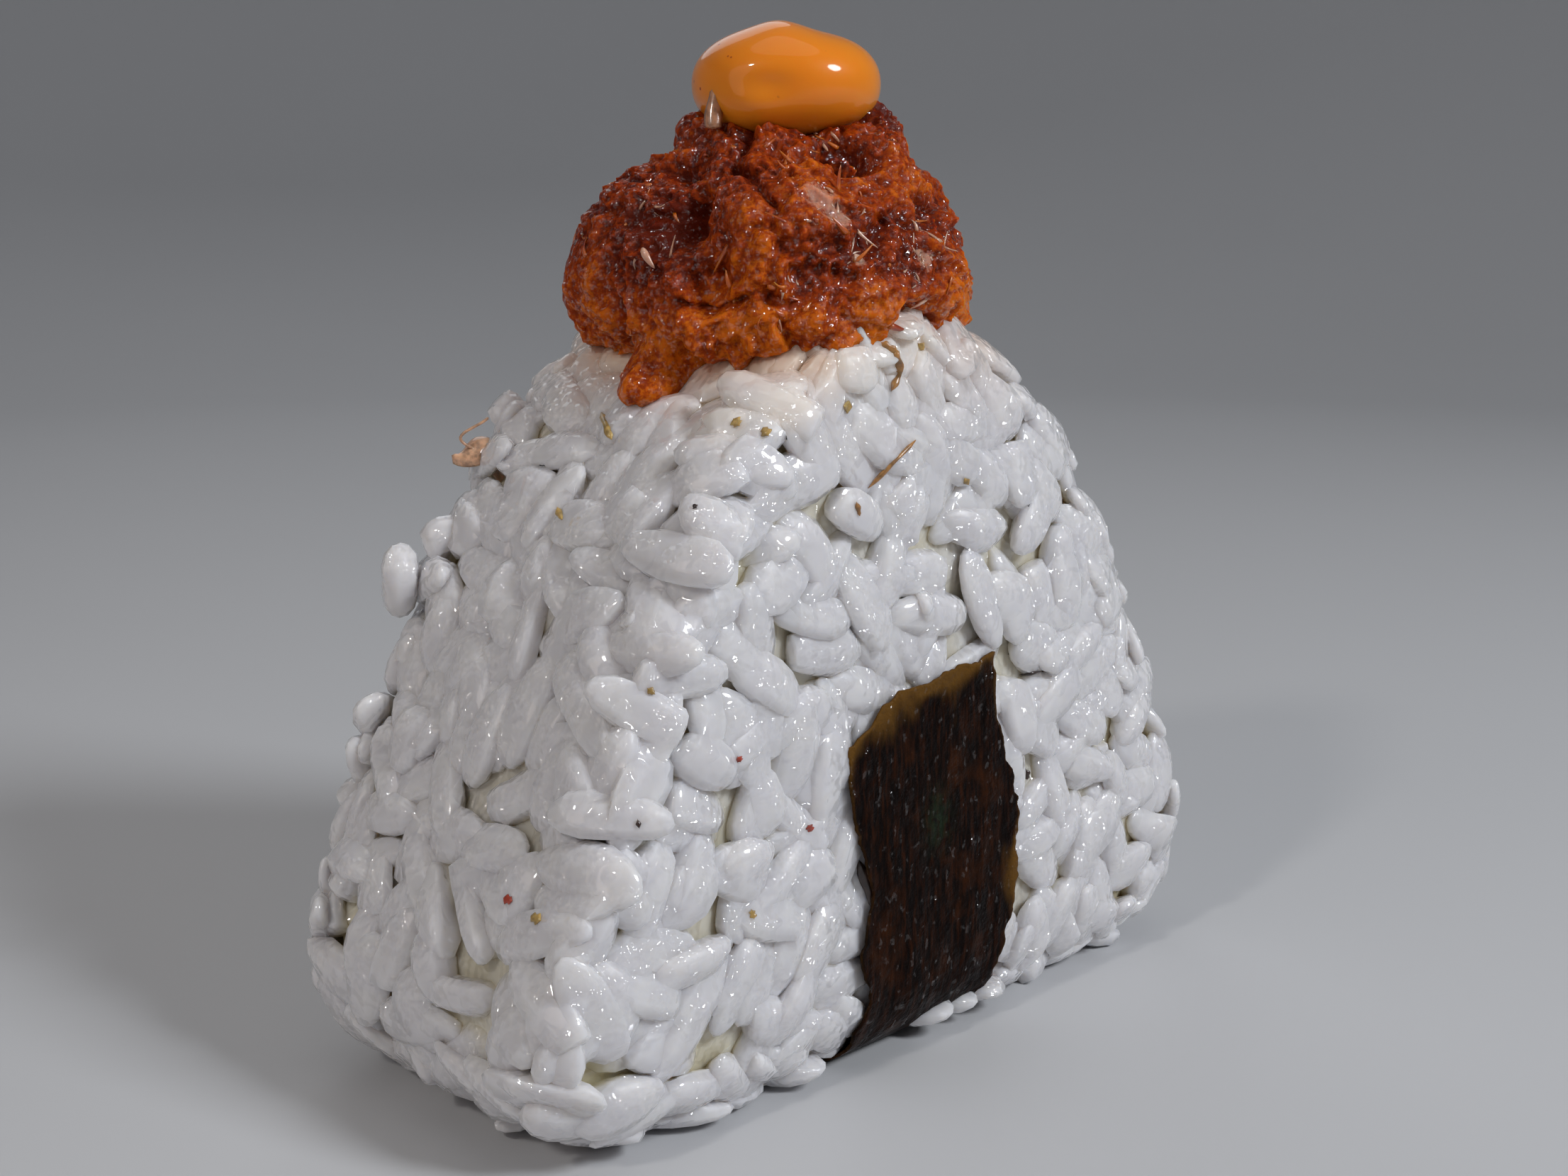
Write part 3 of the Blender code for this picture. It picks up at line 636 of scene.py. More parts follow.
class GrainBed:
    """Grains that lie on the skin: their places, frames and sizes, in arrays."""

    STATIONS = np.linspace(-1, 1, 5)  # where spheres sit along a grain, to find what overlaps
    TRIES = 12  # directions drawn for each grain that is laid
    LENGTHS, WIDTHS, THICKNESSES = (0.72, 1.12), (0.88, 1.08), (0.9, 1.08)  # shares of a whole grain
    TILT = 7  # degrees
    STRAY = 0.02  # share of a random way along the skin
    DRIFT, DRIFT_SIZE, DRIFT_SPREAD = 2.4, 14 * MM, 0.9  # of the way that grains lie, in radians
    SHIFT, TURN = 0.75, 0.045  # shares of a push that move and turn a grain
    LEAST_APART = 0.05  # mm, so that a push has a direction

    def __init__(self, total, depth, depth_spread, seed):
        look = settings().rice
        draw = np.random.default_rng(seed)
        lift = np.arcsin(draw.uniform(-1, 1, total * self.TRIES))
        directions = directions_at(lift, draw.uniform(0, 2 * np.pi, total * self.TRIES))
        points = skin_points(directions)
        away = points - UP * BODY_CENTRE
        far = np.linalg.norm(away, axis=1)
        facing = np.sum(skin_normals(points) * away, axis=1) / far
        area = far**2 / np.maximum(facing, 0.2)
        picked = draw.choice(len(points), total, replace=False, p=area / area.sum())
        self.directions = directions[picked]
        self.lengths = look.grain_length * draw.uniform(*self.LENGTHS, total)
        self.widths = look.grain_width * draw.uniform(*self.WIDTHS, total)
        self.thicknesses = look.grain_thickness * draw.uniform(*self.THICKNESSES, total)
        self.depths = depth + depth_spread * draw.uniform(-1, 1, total)
        self.tilts = np.radians(draw.normal(0, self.TILT, total))
        self.settle()
        side = unit(np.cross(self.normals, draw.normal(0, 1, (total, 3))))
        # Neighbours tend to lie along each other, so the grain drifts slowly over the body
        drift = self.DRIFT * noise(self.points, self.DRIFT_SIZE, seed)
        drift = drift + draw.normal(0, self.DRIFT_SPREAD, total)
        level = unit(np.cross(self.normals, np.array((0.31, 0.87, 0.22))))
        rise = np.cross(self.normals, level)
        self.axes = np.cos(drift)[:, None] * level + np.sin(drift)[:, None] * rise
        self.axes = unit(self.axes + self.STRAY * side)

    def settle(self):
        """Puts each grain on the skin in its direction."""
        self.points = skin_points(self.directions)
        self.normals = skin_normals(self.points)

    def centres(self):
        return self.points - self.normals * self.depths[:, None]

    def spheres(self):
        """Middles of the spheres that stand in for each grain, spaced along its axis."""
        reach_along = (self.lengths - self.widths)[:, None] / 2 * self.STATIONS[None, :] * 1.08
        return self.centres()[:, None, :] + self.axes[:, None, :] * reach_along[..., None]

    def spread(self, rounds, contact):
        """Pushes grains apart where their spheres overlap, along the skin, and turns them."""
        stations = len(self.STATIONS)
        total = len(self.points)
        for _ in range(rounds):
            balls = self.spheres().reshape(-1, 3) / MM
            owner = np.repeat(np.arange(total), stations)
            square = (balls**2).sum(1)[:, None] + (balls**2).sum(1)[None, :] - 2 * balls @ balls.T
            near = (square < (contact / MM) ** 2) & (owner[:, None] != owner[None, :])
            one, two = np.nonzero(near)
            gap = balls[one] - balls[two]
            apart = np.maximum(np.linalg.norm(gap, axis=1), self.LEAST_APART)
            push = gap / apart[:, None] * (contact / MM - apart)[:, None] * 0.5
            middle = self.centres()[owner[one]] / MM
            move = np.zeros((total, 3))
            twist = np.zeros((total, 3))
            hits = np.zeros(total)
            np.add.at(move, owner[one], push)
            np.add.at(twist, owner[one], np.cross(balls[one] - middle, push))
            np.add.at(hits, owner[one], 1)
            hits = np.maximum(hits, 1)[:, None]
            shifted = self.points + move / hits * self.SHIFT * MM
            self.axes = self.axes + np.cross(twist / hits * self.TURN, self.axes)
            self.directions = unit(shifted - UP * BODY_CENTRE)
            self.settle()
            self.axes = unit(self.axes - self.normals * np.sum(self.axes * self.normals, axis=1)[:, None])

    def keep(self, chosen):
        """Leaves out the grains that aren't chosen."""
        for key, values in list(vars(self).items()):
            setattr(self, key, values[chosen])


def over_strip(points, margin):
    """Whether points lie within the seaweed strip's width and height, or this near them."""
    near = (points[..., 0] > STRIP_LEFT - margin) & (points[..., 0] < STRIP_RIGHT + margin)
    return near & (points[..., 2] < STRIP_TOP + margin)


def mound_radius(directions):
    """Radius of the mince in each direction: the mean profile with lobes and hollows."""
    lift = np.degrees(np.arcsin(np.clip(directions[..., 2], -1, 1)))
    heights, radii = np.array(MOUND_PROFILE).T
    radius = np.interp(lift, heights, radii)
    for view, height, size, spread in MOUND_LOBES:
        radius = radius + size * patch(directions, view, height, spread)
    return radius * MM


def outside_mound(points):
    """Distance from the mince's mean surface, outwards from the mound's middle."""
    away = points - MOUND_CENTRE
    far = np.linalg.norm(away, axis=-1)
    return far - mound_radius(away / far[..., None])


SLACK = 0.02 * MM  # between the grains and the planes that flatten them


def press_flat(points):
    """Flattens grains that would stand past the pressed faces or through the table."""
    low, high = (np.array(corner) for corner in CAD_BOX)
    points[..., 2] = np.maximum(points[..., 2], SLACK + 0.1 * np.maximum(points[..., 2], 0))
    for axis in (0, 1):
        points[..., axis] = np.clip(points[..., axis], low[axis] + SLACK, high[axis] - SLACK)
    return points


STAIN_REACH = 2.2 * MM


def stain_near_tuna(points):
    """How much sauce has soaked the rice: most at the mince's rim, in patches."""
    gap = outside_mound(points)
    patchy = 0.55 + 0.75 * noise(points, 5 * MM, 5)
    return np.clip(0.8 * np.exp(-np.maximum(gap, 0) / STAIN_REACH) * patchy, 0, 1)


# Grains that stand off the outline: their middle and the way they point, in mm, and their length
STRAY_GRAINS = (
    ((-25.6, 13.6, 35.4), (0.12, 0.1, 1.0), 5.6),
    ((-22.0, 12.7, 38.4), (-0.75, 0.45, -0.35), 4.8),
    ((-31.8, 10.5, 15.5), (-0.5, 0.3, -0.7), 6.0),
    ((-15.6, 12.6, 46.6), (-0.5, 0.5, 0.7), 5.0),
)

# Cream smeared on the rice under the mince: its middle in mm and its spread in mm
CREAM = (
    ((-2.0, -13.8, 53.0), 3.0), ((1.6, -12.6, 54.2), 2.2), ((-6.5, -14.6, 51.6), 2.4),
    ((-15.6, -9.9, 48.3), 2.2), ((-12.4, -13.4, 49.6), 2.0),
)
CREAM_SHAPE = (1.9, 1.4)  # length and width of a smear over its spread
CREAM_THICKNESS, CREAM_DEPTH = 1.7 * MM, 0.75 * MM


def cream_bodies():
    """Flat smooth bodies that level the grains where cream is smeared on them."""
    middles, spreads = (np.array(part) for part in zip(*CREAM))
    middles = middles * MM
    outward = skin_normals(middles)
    axes = unit(np.cross(outward, UP))
    long, wide = (spreads * share * MM for share in CREAM_SHAPE)
    thick = np.full(len(spreads), CREAM_THICKNESS)
    return press_flat(lozenges(middles - outward * CREAM_DEPTH, axes, outward, long, wide, thick, 77))


def cream_cover(points):
    """How thickly cream covers the rice, from 0 to 1."""
    cover = np.zeros(len(points))
    for middle, spread in CREAM:
        far = np.linalg.norm(points / MM - np.array(middle), axis=1)
        cover += np.exp(-((far / spread) ** 4))
    return np.clip(cover * (1 + 0.5 * noise(points, 1.6 * MM, 15)), 0, 1)


# Beds of grains: the setting that counts them, their depth and its spread in mm, rounds of
# pushing apart, how near two may lie as a share of a grain's width, and the seeds of their draws
GRAIN_BEDS = (
    ("outer_count", 0.98, 0.18, 60, 0.86, 21, 61),
    ("inner_count", 1.12, 0.16, 30, 0.80, 33, 62),
    ("filler_count", 1.38, 0.15, 14, 0.80, 47, 63),
)
STRIP_CLEARANCE = 0.4 * MM  # round the strip, where grains are sunk under it
UNDER_STRIP = 1.75 * MM  # depth of their middles there
HIDDEN_DEPTH = 3.5 * MM  # grains this far inside the mince are left out
STEEP_SHARE, STEEP_TILT = 0.05, (25, 60)  # the few grains that stick out, in degrees
GRAIN_ROLL = 0.16
STRAY_WIDTH = 0.8  # over a whole grain's width


def bed_points(number, depth, depth_spread, rounds, contact, bed_seed, seed, strays):
    """Points of a bed's grains, each tilted a little, and sunk where the strip lies on them."""
    look = settings().rice
    bed = GrainBed(number, depth * MM, depth_spread * MM, bed_seed)
    bed.spread(rounds, look.grain_width * contact)
    draw = np.random.default_rng(seed)
    under = over_strip(bed.spheres(), STRIP_CLEARANCE).any(axis=1)
    bed.depths = np.where(under, np.maximum(bed.depths, UNDER_STRIP), bed.depths)
    bed.tilts = np.where(under, 0, bed.tilts)
    shown = outside_mound(bed.centres()) > -HIDDEN_DEPTH
    bed.keep(shown)
    tilts = bed.tilts
    steep = (draw.random(len(tilts)) < STEEP_SHARE) & ~under[shown]
    tilts[steep] += np.radians(draw.uniform(*STEEP_TILT, steep.sum()))
    axes = np.cos(tilts)[:, None] * bed.axes + np.sin(tilts)[:, None] * bed.normals
    centres = bed.centres() - bed.normals * (np.sin(np.abs(tilts)) * bed.lengths * 0.3)[:, None]
    outward = bed.normals + draw.normal(0, GRAIN_ROLL, bed.normals.shape)
    sizes = [bed.lengths, bed.widths, bed.thicknesses]
    if strays:
        middles, ways, long = (np.array(part, dtype=float) for part in zip(*STRAY_GRAINS))
        centres = np.concatenate([centres, middles * MM])
        axes = np.concatenate([axes, unit(ways)])
        outward = np.concatenate([outward, unit(middles - UP * BODY_CENTRE / MM) + 0.1])
        stray_width = look.grain_width * STRAY_WIDTH
        extra = [long * MM, np.full(len(long), stray_width), np.full(len(long), stray_width)]
        sizes = [np.concatenate(pair) for pair in zip(sizes, extra)]
    return press_flat(lozenges(centres, axes, outward, *sizes, seed))


CORE_RINGS, CORE_SIDES = 70, 110
CORE_INSET, CORE_FLOOR = 1.8 * MM, 0.4 * MM  # from the skin, and above the table
LUMP_SIZE, LUMP_HEIGHT = 3.2 * MM, 0.8 * MM


def core_points():
    """The starchy middle: the skin moved in, raised towards scattered centres."""
    points = skin_points(ball_directions(even_lifts(CORE_RINGS), CORE_SIDES), CORE_INSET)
    relief = 0.55 - cell_distance(points, LUMP_SIZE, 3)
    points = points + unit(points - UP * BODY_CENTRE) * (relief * LUMP_HEIGHT)[:, None]
    points[:, 2] = np.maximum(points[:, 2], CORE_FLOOR)
    return points


def mark_creases(mesh, least_fold):
    """Keeps the edges where two grains meet sharp: those that fold inwards by this angle."""
    sizes = read_values(mesh.polygons, "loop_total", kind=np.int32)
    edges = read_values(mesh.loops, "edge_index", kind=np.int32)
    owner = np.repeat(np.arange(len(sizes)), sizes)
    one, two = owner[np.argsort(edges, kind="stable")].reshape(-1, 2).T
    centres = read_values(mesh.polygons, "center", 3)
    normals = read_values(mesh.polygons, "normal", 3)
    inward = np.sum((centres[two] - centres[one]) * normals[one], axis=1) > 0
    folded = np.sum(normals[one] * normals[two], axis=1) < math.cos(least_fold)
    mesh.attributes.new("sharp_edge", "BOOLEAN", "EDGE").data.foreach_set("value", inward & folded)


LEAST_FOLD = math.radians(20)


def joined(name, core, grains):
    """One skin round the core and the grains, which stick together where they overlap: the union
    of the closed bodies, with a crease where two of them meet. Worked out in millimetres."""
    whole = new_object(name, core / MM, many_faces(CORE_RINGS, CORE_SIDES, 1))
    pieces = bpy.data.collections.new("grains")
    faces = lozenge_faces(1)
    for number, grain in enumerate(grains):
        pieces.objects.link(new_object(f"grain_{number}", grain / MM, faces))
    union = whole.modifiers.new("join", "BOOLEAN")
    union.operation = "UNION"
    union.solver = "MANIFOLD"
    union.operand_type = "COLLECTION"
    union.collection = pieces
    graph = bpy.context.evaluated_depsgraph_get()
    mesh = bpy.data.meshes.new_from_object(whole.evaluated_get(graph))
    bpy.data.batch_remove([*pieces.objects, whole, pieces])
    mesh.name = name
    mesh.materials.clear()
    mark_creases(mesh, LEAST_FOLD)
    places = read_values(mesh.vertices, "co", 3).astype(float) * MM
    mesh.vertices.foreach_set("co", places.astype(np.float32).ravel())
    # Depth below the skin, which the material turns into painted shade in the gaps; the stain and the cream
    # are real colour
    depth = np.maximum(depth_below(places), 0)
    add_values(mesh, {"depth": depth, "stain": stain_near_tuna(places), "cream": cream_cover(places)})
    mesh.shade_smooth()
    mesh.update()
    return linked(name, mesh)


class RICEBALL_OT_rice(Operator):
    """Lay the rice grains on their starchy middle and stick them together"""

    bl_idname = "rice_ball.rice"
    bl_label = "Rice"

    def execute(self, context):
        look = settings().rice
        beds = []
        for counted, *places in GRAIN_BEDS:
            beds.append(bed_points(getattr(look, counted), *places, strays=not beds))
        grains = np.concatenate([*beds, cream_bodies()])
        obj = joined("rice_grains", core_points(), grains)
        finish_object(obj, rice_material(), "rice")
        return {"FINISHED"}


def tuna_material():
    """Minced tuna in sauce: amber to red-brown, wet, lit through its thin lobes, and granular, with a
    painted glow at its rims and painted shade in its folds.
    """
    look = settings().tuna
    recipe = Recipe(
        "minced_tuna",
        Roughness=0.5,
        Specular_IOR_Level=0.1,
        Subsurface_Weight=0.5,
        Subsurface_Radius=(1.0, 0.35, 0.12),
        Subsurface_Scale=1.1 * MM,
        Coat_Roughness=0.05,
        Coat_IOR=1.75,
    )
    mottle = recipe.span(recipe.noise(0.55 * MM, 3, 0.7), 0.3, 0.7, 0.2, 0.8)
    # The tone attribute holds painted shade in the folds and valleys and a painted glow at the rims; the
    # mottle is the mince's own uneven colour
    tone_light_and_shade = recipe.combine(recipe.attribute("tone_light_and_shade"), mottle)
    base = recipe.mix(recipe.span(tone_light_and_shade, 0.35, 0.95), look.dark_colour, look.red_colour)
    base = recipe.mix(recipe.span(tone_light_and_shade, 0.85, 1.45), base, look.orange_colour)
    fibres = recipe.combine(recipe.attribute("pale"), recipe.noise(0.4 * MM, 3, 0.7))
    base = recipe.mix(recipe.span(fibres, 1.05, 1.4, 0.0, 0.5), base, look.pale_colour)
    recipe.set(Base_Color=base, Normal=recipe.bump(recipe.noise(0.8 * MM, 2, 0.5), 0.25 * MM, 0.6))
    wet = recipe.span(recipe.noise(0.42 * MM, 1), 0.50, 0.58)
    recipe.set(Coat_Weight=wet, Coat_Normal=recipe.bump(recipe.noise(0.6 * MM, 1), 0.75 * MM))
    return recipe.material


def mince_relief(points, smoothness):
    """Height of the mince's relief, in metres. Creases and torn steps follow the lines where slow
    noises are nought, and lumps of three sizes come from distances to scattered centres. Paste is
    smoother than the rest."""
    bent = points + 1.3 * MM * xyz(*(noise(points, 3.4 * MM, 70 + k) for k in range(3)))
    bent = bent + 0.4 * MM * xyz(*(noise(points, 1.1 * MM, 75 + k) for k in range(3)))
    crease = np.exp(-((noise(bent, 6.5 * MM, 80) / 0.13) ** 2))
    big = 0.62 - cell_distance(bent, 3.4 * MM, 90)
    middle = 0.6 - cell_distance(bent * (1, 1, 0.8), 1.7 * MM, 94)
    small = 0.55 - cell_distance(bent, 0.85 * MM, 97)
    cliffs = np.abs(noise(bent, 2.4 * MM, 99))
    fine = rough_noise(points, 0.7 * MM, 104, 2)
    rough = 1 - 0.8 * smoothness
    torn = np.abs(noise(bent * (1, 1, 0.7), 1.3 * MM, 101))
    lumps = 0.5 * middle + 0.45 * small - 0.8 * cliffs - 0.55 * torn + 0.32 * fine
    folds = (0.6 * big - 0.8 * crease) * (1 - 0.75 * smoothness)
    return (0.35 + folds + lumps * rough) * MM


def mince_surface(directions):
    """The mince's surface in each direction: its profile and lobes, the tongue that hangs over the
    rice, the relief, and a rim drawn lower and higher by noise round the mound."""
    angle = np.arcsin(np.clip(directions[:, 2], -1, 1))
    heading = np.arctan2(directions[:, 1], directions[:, 0])
    flat = directions_at(0 * heading, heading)
    waves = noise(flat, 0.30, 31) + 0.6 * noise(flat, 0.13, 32)
    shift = RIM_WANDER * waves * smooth_step(-angle, -0.1, 0.25)
    radius = mound_radius(directions_at(angle + shift, heading))
    view, height, spread, size = MOUND_TONGUE
    radius = radius + size * MM * patch(directions, view, height, spread, 4)
    smoothness = np.clip(sum(patch(directions, *place) for place in MOUND_SMOOTH), 0, 1)
    relief = mince_relief(MOUND_CENTRE + directions * radius[:, None], smoothness)
    radius = radius + relief - MINCE_SINK * (1 - smooth_step(angle, *SINK_FADE))
    return MOUND_CENTRE + directions * radius[:, None], relief, smoothness


MINCE_RINGS, MINCE_SIDES = 216, 440
BURIED_RINGS = 8


class RICEBALL_OT_mince(Operator):
    """Make the mound of minced tuna with its folds, lumps and pale fibres"""

    bl_idname = "rice_ball.mince"
    bl_label = "Minced Tuna"

    def execute(self, context):
        buried = np.linspace(-88, -52, BURIED_RINGS)
        shown = np.linspace(-50, 84, MINCE_RINGS - BURIED_RINGS)
        lifts = np.radians(np.concatenate([buried, shown]))
        directions = ball_directions(lifts, MINCE_SIDES)
        points, relief, smoothness = mince_surface(directions)
        height = np.degrees(np.arcsin(np.clip(directions[:, 2], -1, 1)))
        pale = np.zeros(len(points))
        for view, middle, spread, strength in MOUND_PALE:
            pale += strength * patch(directions, view, middle, spread)
        # The tone holds painted light and shade besides the mince's own colour: a painted glow at the lower
        # rim, where light comes through the thin edge, painted shade in the hollows of the relief and
        # painted light on its lumps, and lighter smooth paste
        rim = 1 - smooth_step(height, -22, 8)
        tone_light_and_shade = 0.30 + 0.42 * relief / MM + 0.42 * rim + 0.2 * smoothness
        # Darker towards the top; the noise is the mince's own uneven colour
        tone_light_and_shade = tone_light_and_shade - 0.18 * smooth_step(height, 22, 50) + 0.28 * noise(points, 5 * MM, 41)
        # Painted shade in the listed patches
        for view, middle, spread, strength in MOUND_PAINTED_SHADE:
            tone_light_and_shade = tone_light_and_shade - strength * patch(directions, view, middle, spread)
        attributes = {"tone_light_and_shade": tone_light_and_shade, "pale": pale}
        obj = new_object("tuna_mince", points, many_faces(MINCE_RINGS, MINCE_SIDES, 1), attributes)
        finish_object(obj, tuna_material(), "tuna_mound")
        return {"FINISHED"}


STRAND_RINGS, STRAND_SIDES = 6, 5


def strands(starts, ways, bends, lengths, widths):
    """Thin tapering strands, all at once: each follows its way and curls towards its bend, and its
    round section shrinks to the tip."""
    t = np.linspace(0, 1, STRAND_RINGS)
    path = starts[:, None, :] + lengths[:, None, None] * (
        ways[:, None, :] * t[None, :, None] + bends[:, None, :] * (t**2)[None, :, None]
    )
    side = unit(np.cross(ways, bends + UP * 0.01))
    other = unit(np.cross(ways, side))
    turn = 2 * np.pi * np.arange(STRAND_SIDES) / STRAND_SIDES
    size = widths[:, None] / 2 * (1 - 0.75 * t[None, :] ** 1.5)
    ring = (
        side[:, None, None, :] * np.cos(turn)[None, None, :, None]
        + other[:, None, None, :] * np.sin(turn)[None, None, :, None]
    )
    tube = path[:, :, None, :] + ring * size[:, :, None, None]
    ends = np.stack([path[:, 0], path[:, -1] + ways * widths[:, None] * 0.3], axis=1)
    return np.concatenate([tube.reshape(len(starts), -1, 3), ends], axis=1)


def shred_material(name, colour_one, colour_two):
    """Strands of fish: translucent and wet, in two colours that change along them."""
    recipe = Recipe(
        name,
        Roughness=0.35,
        Subsurface_Weight=0.5,
        Subsurface_Radius=(1.0, 0.6, 0.4),
        Subsurface_Scale=0.8 * MM,
        Coat_Weight=0.8,
        Coat_Roughness=0.12,
    )
    part = recipe.span(recipe.noise(1.4 * MM, 2), 0.38, 0.66)
    base = recipe.mix(part, colour_one, colour_two)
    recipe.set(Base_Color=base, Normal=recipe.bump(recipe.noise(0.3 * MM), 0.06 * MM, 0.6))
    return recipe.material


# Tufts of pale fibres: view angle, height angle, spread in degrees, number of strands
PALE_TUFTS = (
    (47, 2, 4.5, 34), (43, -4, 3.5, 12), (14, 18, 5.5, 26), (20, 10, 3.5, 14),
    (22, 1, 2.0, 10), (-41, 2, 2.2, 9), (-52, 18, 3.0, 5), (33, 57, 4.0, 12),
    (2, -8, 3.0, 5), (130, 10, 5.0, 18), (200, 24, 6.0, 20), (262, 2, 5.0, 12),
)
# Pale chips of fish: view angle, height angle, turn in degrees, length and width in mm
FISH_CHIPS = (
    (-41, 1, 125, 1.8, 0.5), (22, 1, 75, 1.0, 0.7), (46, 3, 100, 1.6, 0.6),
    (140, 12, 40, 2.4, 0.8), (205, 26, 100, 2.0, 0.7),
)
CHIP_THICKNESS = 0.4 * MM


def surface_strands(directions, draw, stand, longs, wides):
    """Points and faces of strands rooted in the mince at these directions. They stand off it by a
    share between the two given, and their lengths and widths lie between the two given, in mm."""
    total = len(directions)
    roots = mince_surface(directions)[0] - directions * 0.15 * MM
    level = unit(np.cross(directions, draw.normal(0, 1, (total, 3))))
    ways = unit(level + directions * draw.uniform(*stand, total)[:, None])
    bends = -0.4 * directions + 0.3 * draw.normal(0, 1, (total, 3))
    long, wide = draw.uniform(*longs, total) * MM, draw.uniform(*wides, total) * MM
    return strands(roots, ways, bends, long, wide), many_faces(STRAND_RINGS, STRAND_SIDES, total)


class RICEBALL_OT_shreds(Operator):
    """Add the shreds, pale fibres and pale chips of fish that stand out of the mince"""

    bl_idname = "rice_ball.shreds"
    bl_label = "Fish Shreds"

    def execute(self, context):
        look = settings().tuna
        draw = np.random.default_rng(81)
        total = look.shred_count
        lift = np.radians(draw.uniform(-20, 50, total))
        directions = directions_at(lift, draw.uniform(0, 2 * np.pi, total))
        shapes = surface_strands(directions, draw, (0.1, 0.9), (0.5, 1.7), (0.2, 0.55))
        amber = shred_material("amber_shreds", look.orange_colour, look.red_colour)
        finish_object(new_object("tuna_shreds", *shapes), amber)
        near = [
            around(view + draw.normal(0, spread), height + draw.normal(0, spread))
            for view, height, spread, number in PALE_TUFTS
            for _ in range(number)
        ]
        shapes = surface_strands(np.array(near), draw, (-0.1, 0.12), (0.5, 1.3), (0.14, 0.34))
        pale = shred_material("pale_fibres", look.pale_colour, look.fibre_colour)
        finish_object(new_object("pale_fibres", *shapes), pale)
        view, height, turn, long, wide = np.array(FISH_CHIPS, dtype=float).T
        out = np.array([around(v, h) for v, h in zip(view, height)])
        level = unit(np.cross(UP, out))
        rise = np.cross(out, level)
        turn = np.radians(turn)[:, None]
        axes = unit(np.cos(turn) * level + np.sin(turn) * rise + 0.12 * out)
        centres = mince_surface(out)[0] - out * 0.06 * MM
        thick = np.full(len(long), CHIP_THICKNESS)
        chips = lozenges(centres, axes, out, long * MM, wide * MM, thick, 83)
        finish_object(new_object("fish_chips", chips, lozenge_faces(len(chips))), pale)
        return {"FINISHED"}


def sauce_material():
    """Smooth opaque sauce: saturated orange, glossy, with a few chilli specks."""
    look = settings().sauce
    recipe = Recipe(
        "orange_sauce",
        Roughness=0.4,
        Specular_IOR_Level=0.1,
        Subsurface_Weight=0.4,
        Subsurface_Radius=(1.0, 0.45, 0.12),
        Subsurface_Scale=1.4 * MM,
        Coat_Weight=0.8,
        Coat_Roughness=0.06,
        Coat_IOR=1.4,
    )
    specks = recipe.span(recipe.cells(1.25 * MM), 0.07, 0.12, 1.0, 0.0)
    sparse = recipe.span(recipe.noise(2.2 * MM, 1), 0.46, 0.52)
    tint = recipe.span(recipe.noise(6 * MM, 1), 0.3, 0.7, 0.0, 0.35)
    base = recipe.mix(tint, look.body_colour, look.deep_colour)
    base = recipe.mix(recipe.combine(specks, sparse, "MULTIPLY"), base, look.dot_colour)
    recipe.set(Base_Color=base, Normal=recipe.bump(recipe.noise(2.5 * MM, 1), 0.1 * MM, 0.25))
    return recipe.material


SAUCE_RINGS, SAUCE_SIDES = 90, 150
SAUCE_RIGHT = np.array((0.713, -0.701, 0))  # to the right as it is viewed
SAUCE_POWER = 2.2


def sauce_radius(side, near, up):
    """Radius of the drop in directions given as shares to the right, towards the viewer and up: a
    flat egg, the power norm of its half sizes, with swellings and hollows in mm added."""
    look = settings().sauce
    front = np.maximum(near, 0)
    flat = (np.abs(side) ** SAUCE_POWER + np.abs(near) ** SAUCE_POWER) / look.half_width**SAUCE_POWER
    egg = (flat + np.abs(up) ** SAUCE_POWER / look.half_height**SAUCE_POWER) ** (-1 / SAUCE_POWER)
    crest = 0.4 * hump(side, -0.15, 0.4) * smooth_step(up, 0.2, 0.9)
    shoulder = -0.2 * hump(side, 0.6, 0.3) * smooth_step(up, 0.0, 0.7)
    left_bulge = 0.5 * hump(side, -0.45, 0.3) * hump(up, -0.35, 0.3) * front
    front_hollow = -0.35 * hump(side, -0.2, 0.28) * hump(up, -0.05, 0.14) * front
    sag = 0.3 * hump(side, -0.05, 0.45) * front * smooth_step(-up, -0.1, 0.6)
    return egg + (crest + shoulder + left_bulge + front_hollow + sag) * MM


class RICEBALL_OT_sauce(Operator):
    """Make the drop of sauce that sits on the mound and sags over its front"""

    bl_idname = "rice_ball.sauce"
    bl_label = "Sauce"

    def execute(self, context):
        directions = ball_directions(even_lifts(SAUCE_RINGS), SAUCE_SIDES)
        side, near, up = (directions @ way for way in (SAUCE_RIGHT, np.cross(SAUCE_RIGHT, UP), UP))
        points = SAUCE_CENTRE + directions * sauce_radius(side, near, up)[:, None]
        obj = new_object("sauce_blob", points, many_faces(SAUCE_RINGS, SAUCE_SIDES, 1))
        finish_object(obj, sauce_material(), "sauce_drop")
        return {"FINISHED"}


